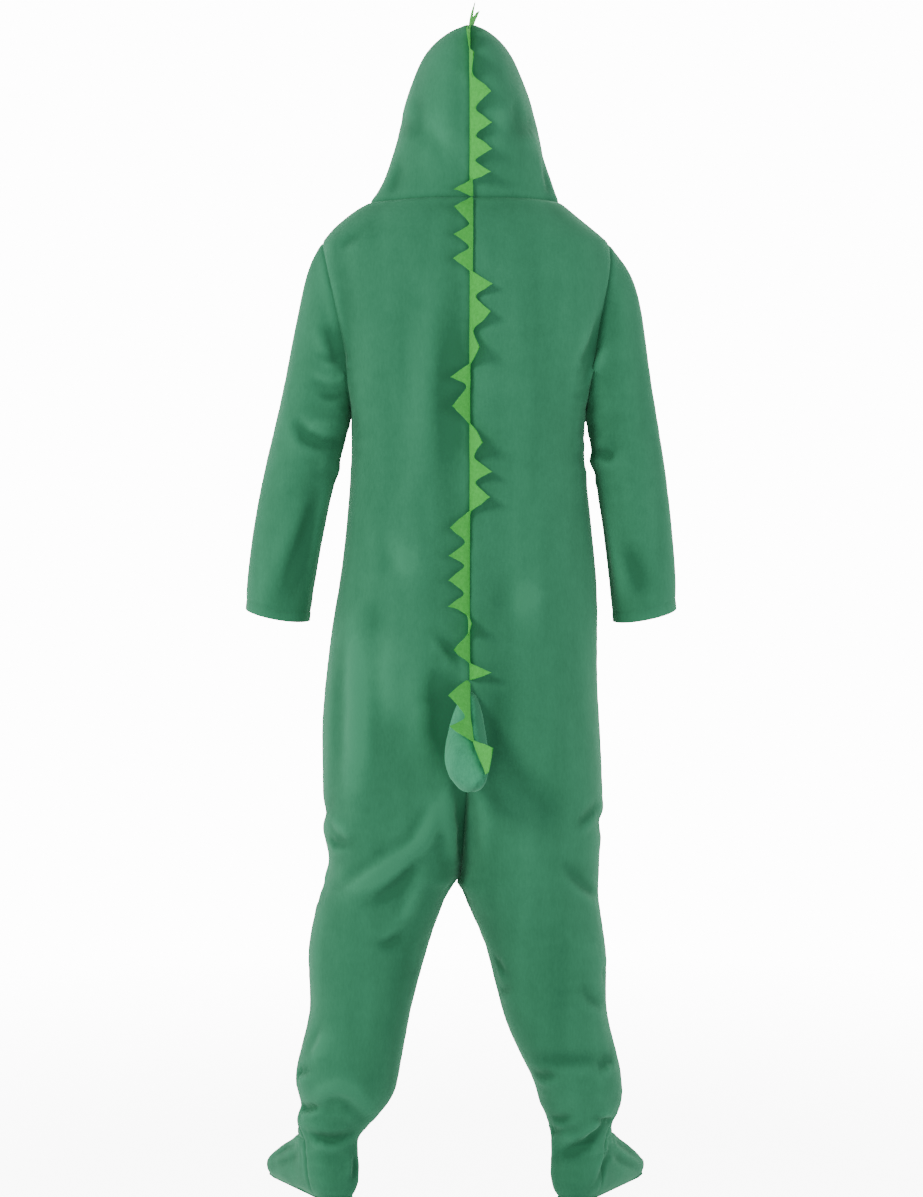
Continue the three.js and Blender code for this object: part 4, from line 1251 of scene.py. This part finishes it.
zip_bottom = tape_low.z + 8 * MM
count = int((slider_low.z + END_GAP - zip_bottom) / PITCH)
metal_pieces = []
for name, side in SIDES.items():
    start = zip_bottom + (PITCH / 2 if side < 0 else 0)
    teeth = block("zip_teeth_" + name, TOOTH, (side * BITE, FORWARD, start))
    repeat(teeth, count, PITCH)
    stop_place = (side * 1.6 * MM, FORWARD, slider_high.z + END_GAP)
    metal_pieces += [teeth, block("zip_top_stop_" + name, TOP_STOP, stop_place)]
stop_place = (0, FORWARD, zip_bottom - END_GAP)
metal_pieces.append(block("zip_bottom_stop", BOTTOM_STOP, stop_place))
for piece in metal_pieces:
    lay_on_tape(piece)
    piece.data.materials.append(metal)
    smooth(piece, 30)
    finished(piece, "garment", "zip_metal")
print(2 * count, "teeth, three stops")

# %% [markdown]
# ## Stitches
# Rows of stitches hold down the turned-in edges along the zip, round the cuffs and round the face.
# A stitch is a short thread with rounded ends, half sunk into the pile. It is copied along each
# row, and every copy is turned to the row and to the cloth.

# %% One stitch, and a row of it
STITCH_STEP = 3.6 * MM
STITCH = 2.7 * MM
THREAD = 0.28 * MM  # half of its thickness


def along_row(points, step):
    """Points spaced evenly along a polyline."""
    lengths = np.concatenate([[0], np.linalg.norm(np.diff(points, axis=0), axis=1).cumsum()])
    wanted = np.arange(step / 2, lengths[-1], step)
    return np.column_stack([np.interp(wanted, lengths, points[:, k]) for k in range(3)])


def stitch_row(name, line, ways):
    """A row of stitches along a line on the cloth, with the cloth's normals at its points."""
    places = along_row(line, STITCH_STEP)
    line_tree = tree_of(line)
    nearest = [line_tree.find(place)[1] for place in places]
    out = ways[nearest]
    ahead = np.gradient(places, axis=0)
    ahead /= np.linalg.norm(ahead, axis=1)[:, None]
    beside = np.cross(out, ahead)
    bpy.ops.object.select_all(action="DESELECT")
    bpy.ops.mesh.primitive_cylinder_add(vertices=6, radius=THREAD, depth=STITCH)
    row = bpy.context.object
    row.name = name
    bevel(row, 0.15 * MM, 70)
    one = points_of(row.data)
    repeat(row, len(places), STITCH_STEP)
    turned = sum(one[None, :, k, None] * way[:, None] for k, way in enumerate((beside, out, ahead)))
    set_points(row.data, (places[:, None] + turned).reshape(-1, 3))
    row.data.materials.append(thread)
    smooth(row, 60)
    finished(row, "garment", "fleece")
    return len(places)


print("stitches every", round(STITCH_STEP * 1000, 1), "mm")


# %% Rows on the cloth
def pieces_of(*names):
    return np.flatnonzero(np.isin(owner, [order.index(name) for name in names]))


def laid_row(wanted, near, closed=False):
    """The line over the cloth through its points nearest to wanted ones, made smooth."""
    tree = tree_of(cloth[near])
    hits = near[[tree.find(point)[1] for point in wanted]]
    line, ways = shaped[hits].copy(), normal[hits]
    for _ in range(6):
        before, after = np.roll(line, 1, 0), np.roll(line, -1, 0)
        if not closed:
            before[0], after[-1] = line[0], line[-1]
        line = (before + line + after) / 3
    return line, ways


FROM_ZIP = 8.5 * MM
OVER_TAPE = 2.6 * MM  # from the tape's face to the outside of the cloth
heights = np.arange(tape_low.z, tape_high.z, 4 * MM)
for name, side in SIDES.items():
    wanted = np.column_stack([
        np.full(len(heights), side * FROM_ZIP),
        np.interp(heights, levels, tape_front) - OVER_TAPE,
        heights,
    ])
    line, ways = laid_row(wanted, pieces_of("front_" + name))
    print("zip", name, stitch_row("zip_stitches_" + name, line, ways), "stitches")

# %% Rows round the cuffs and the face
UP_SLEEVE = 80 * MM  # from the cuff to a band of the sleeve that shows which way it runs
BAND = 10 * MM  # half of its height
open_rims = rims[~sewn]
for name in SIDES:
    panel = pieces_of("sleeve_" + name)
    cuff = np.intersect1d(open_rims, panel)
    centre = cloth[cuff].mean(0)
    turn = np.arctan2(cloth[cuff, 1] - centre[1], cloth[cuff, 0] - centre[0])
    ring = cloth[cuff[np.argsort(turn)]]
    above = cloth[panel][np.abs(cloth[panel, 2] - centre[2] - UP_SLEEVE) < BAND].mean(0)
    upwards = (above - centre) / np.linalg.norm(above - centre)
    line, ways = laid_row(ring + HEM * upwards, panel, closed=True)
    line, ways = np.vstack([line, line[:1]]), np.vstack([ways, ways[:1]])
    print("cuff", name, stitch_row("cuff_stitches_" + name, line, ways), "stitches")

for name in SIDES:
    panel = pieces_of("hood_" + name)
    face_edge = np.intersect1d(open_rims, panel)
    ring = cloth[face_edge[np.argsort(cloth[face_edge, 2])]]
    line, ways = laid_row(ring + np.array([0, HEM, 0]), panel)
    print("face", name, stitch_row("face_stitches_" + name, line, ways), "stitches")
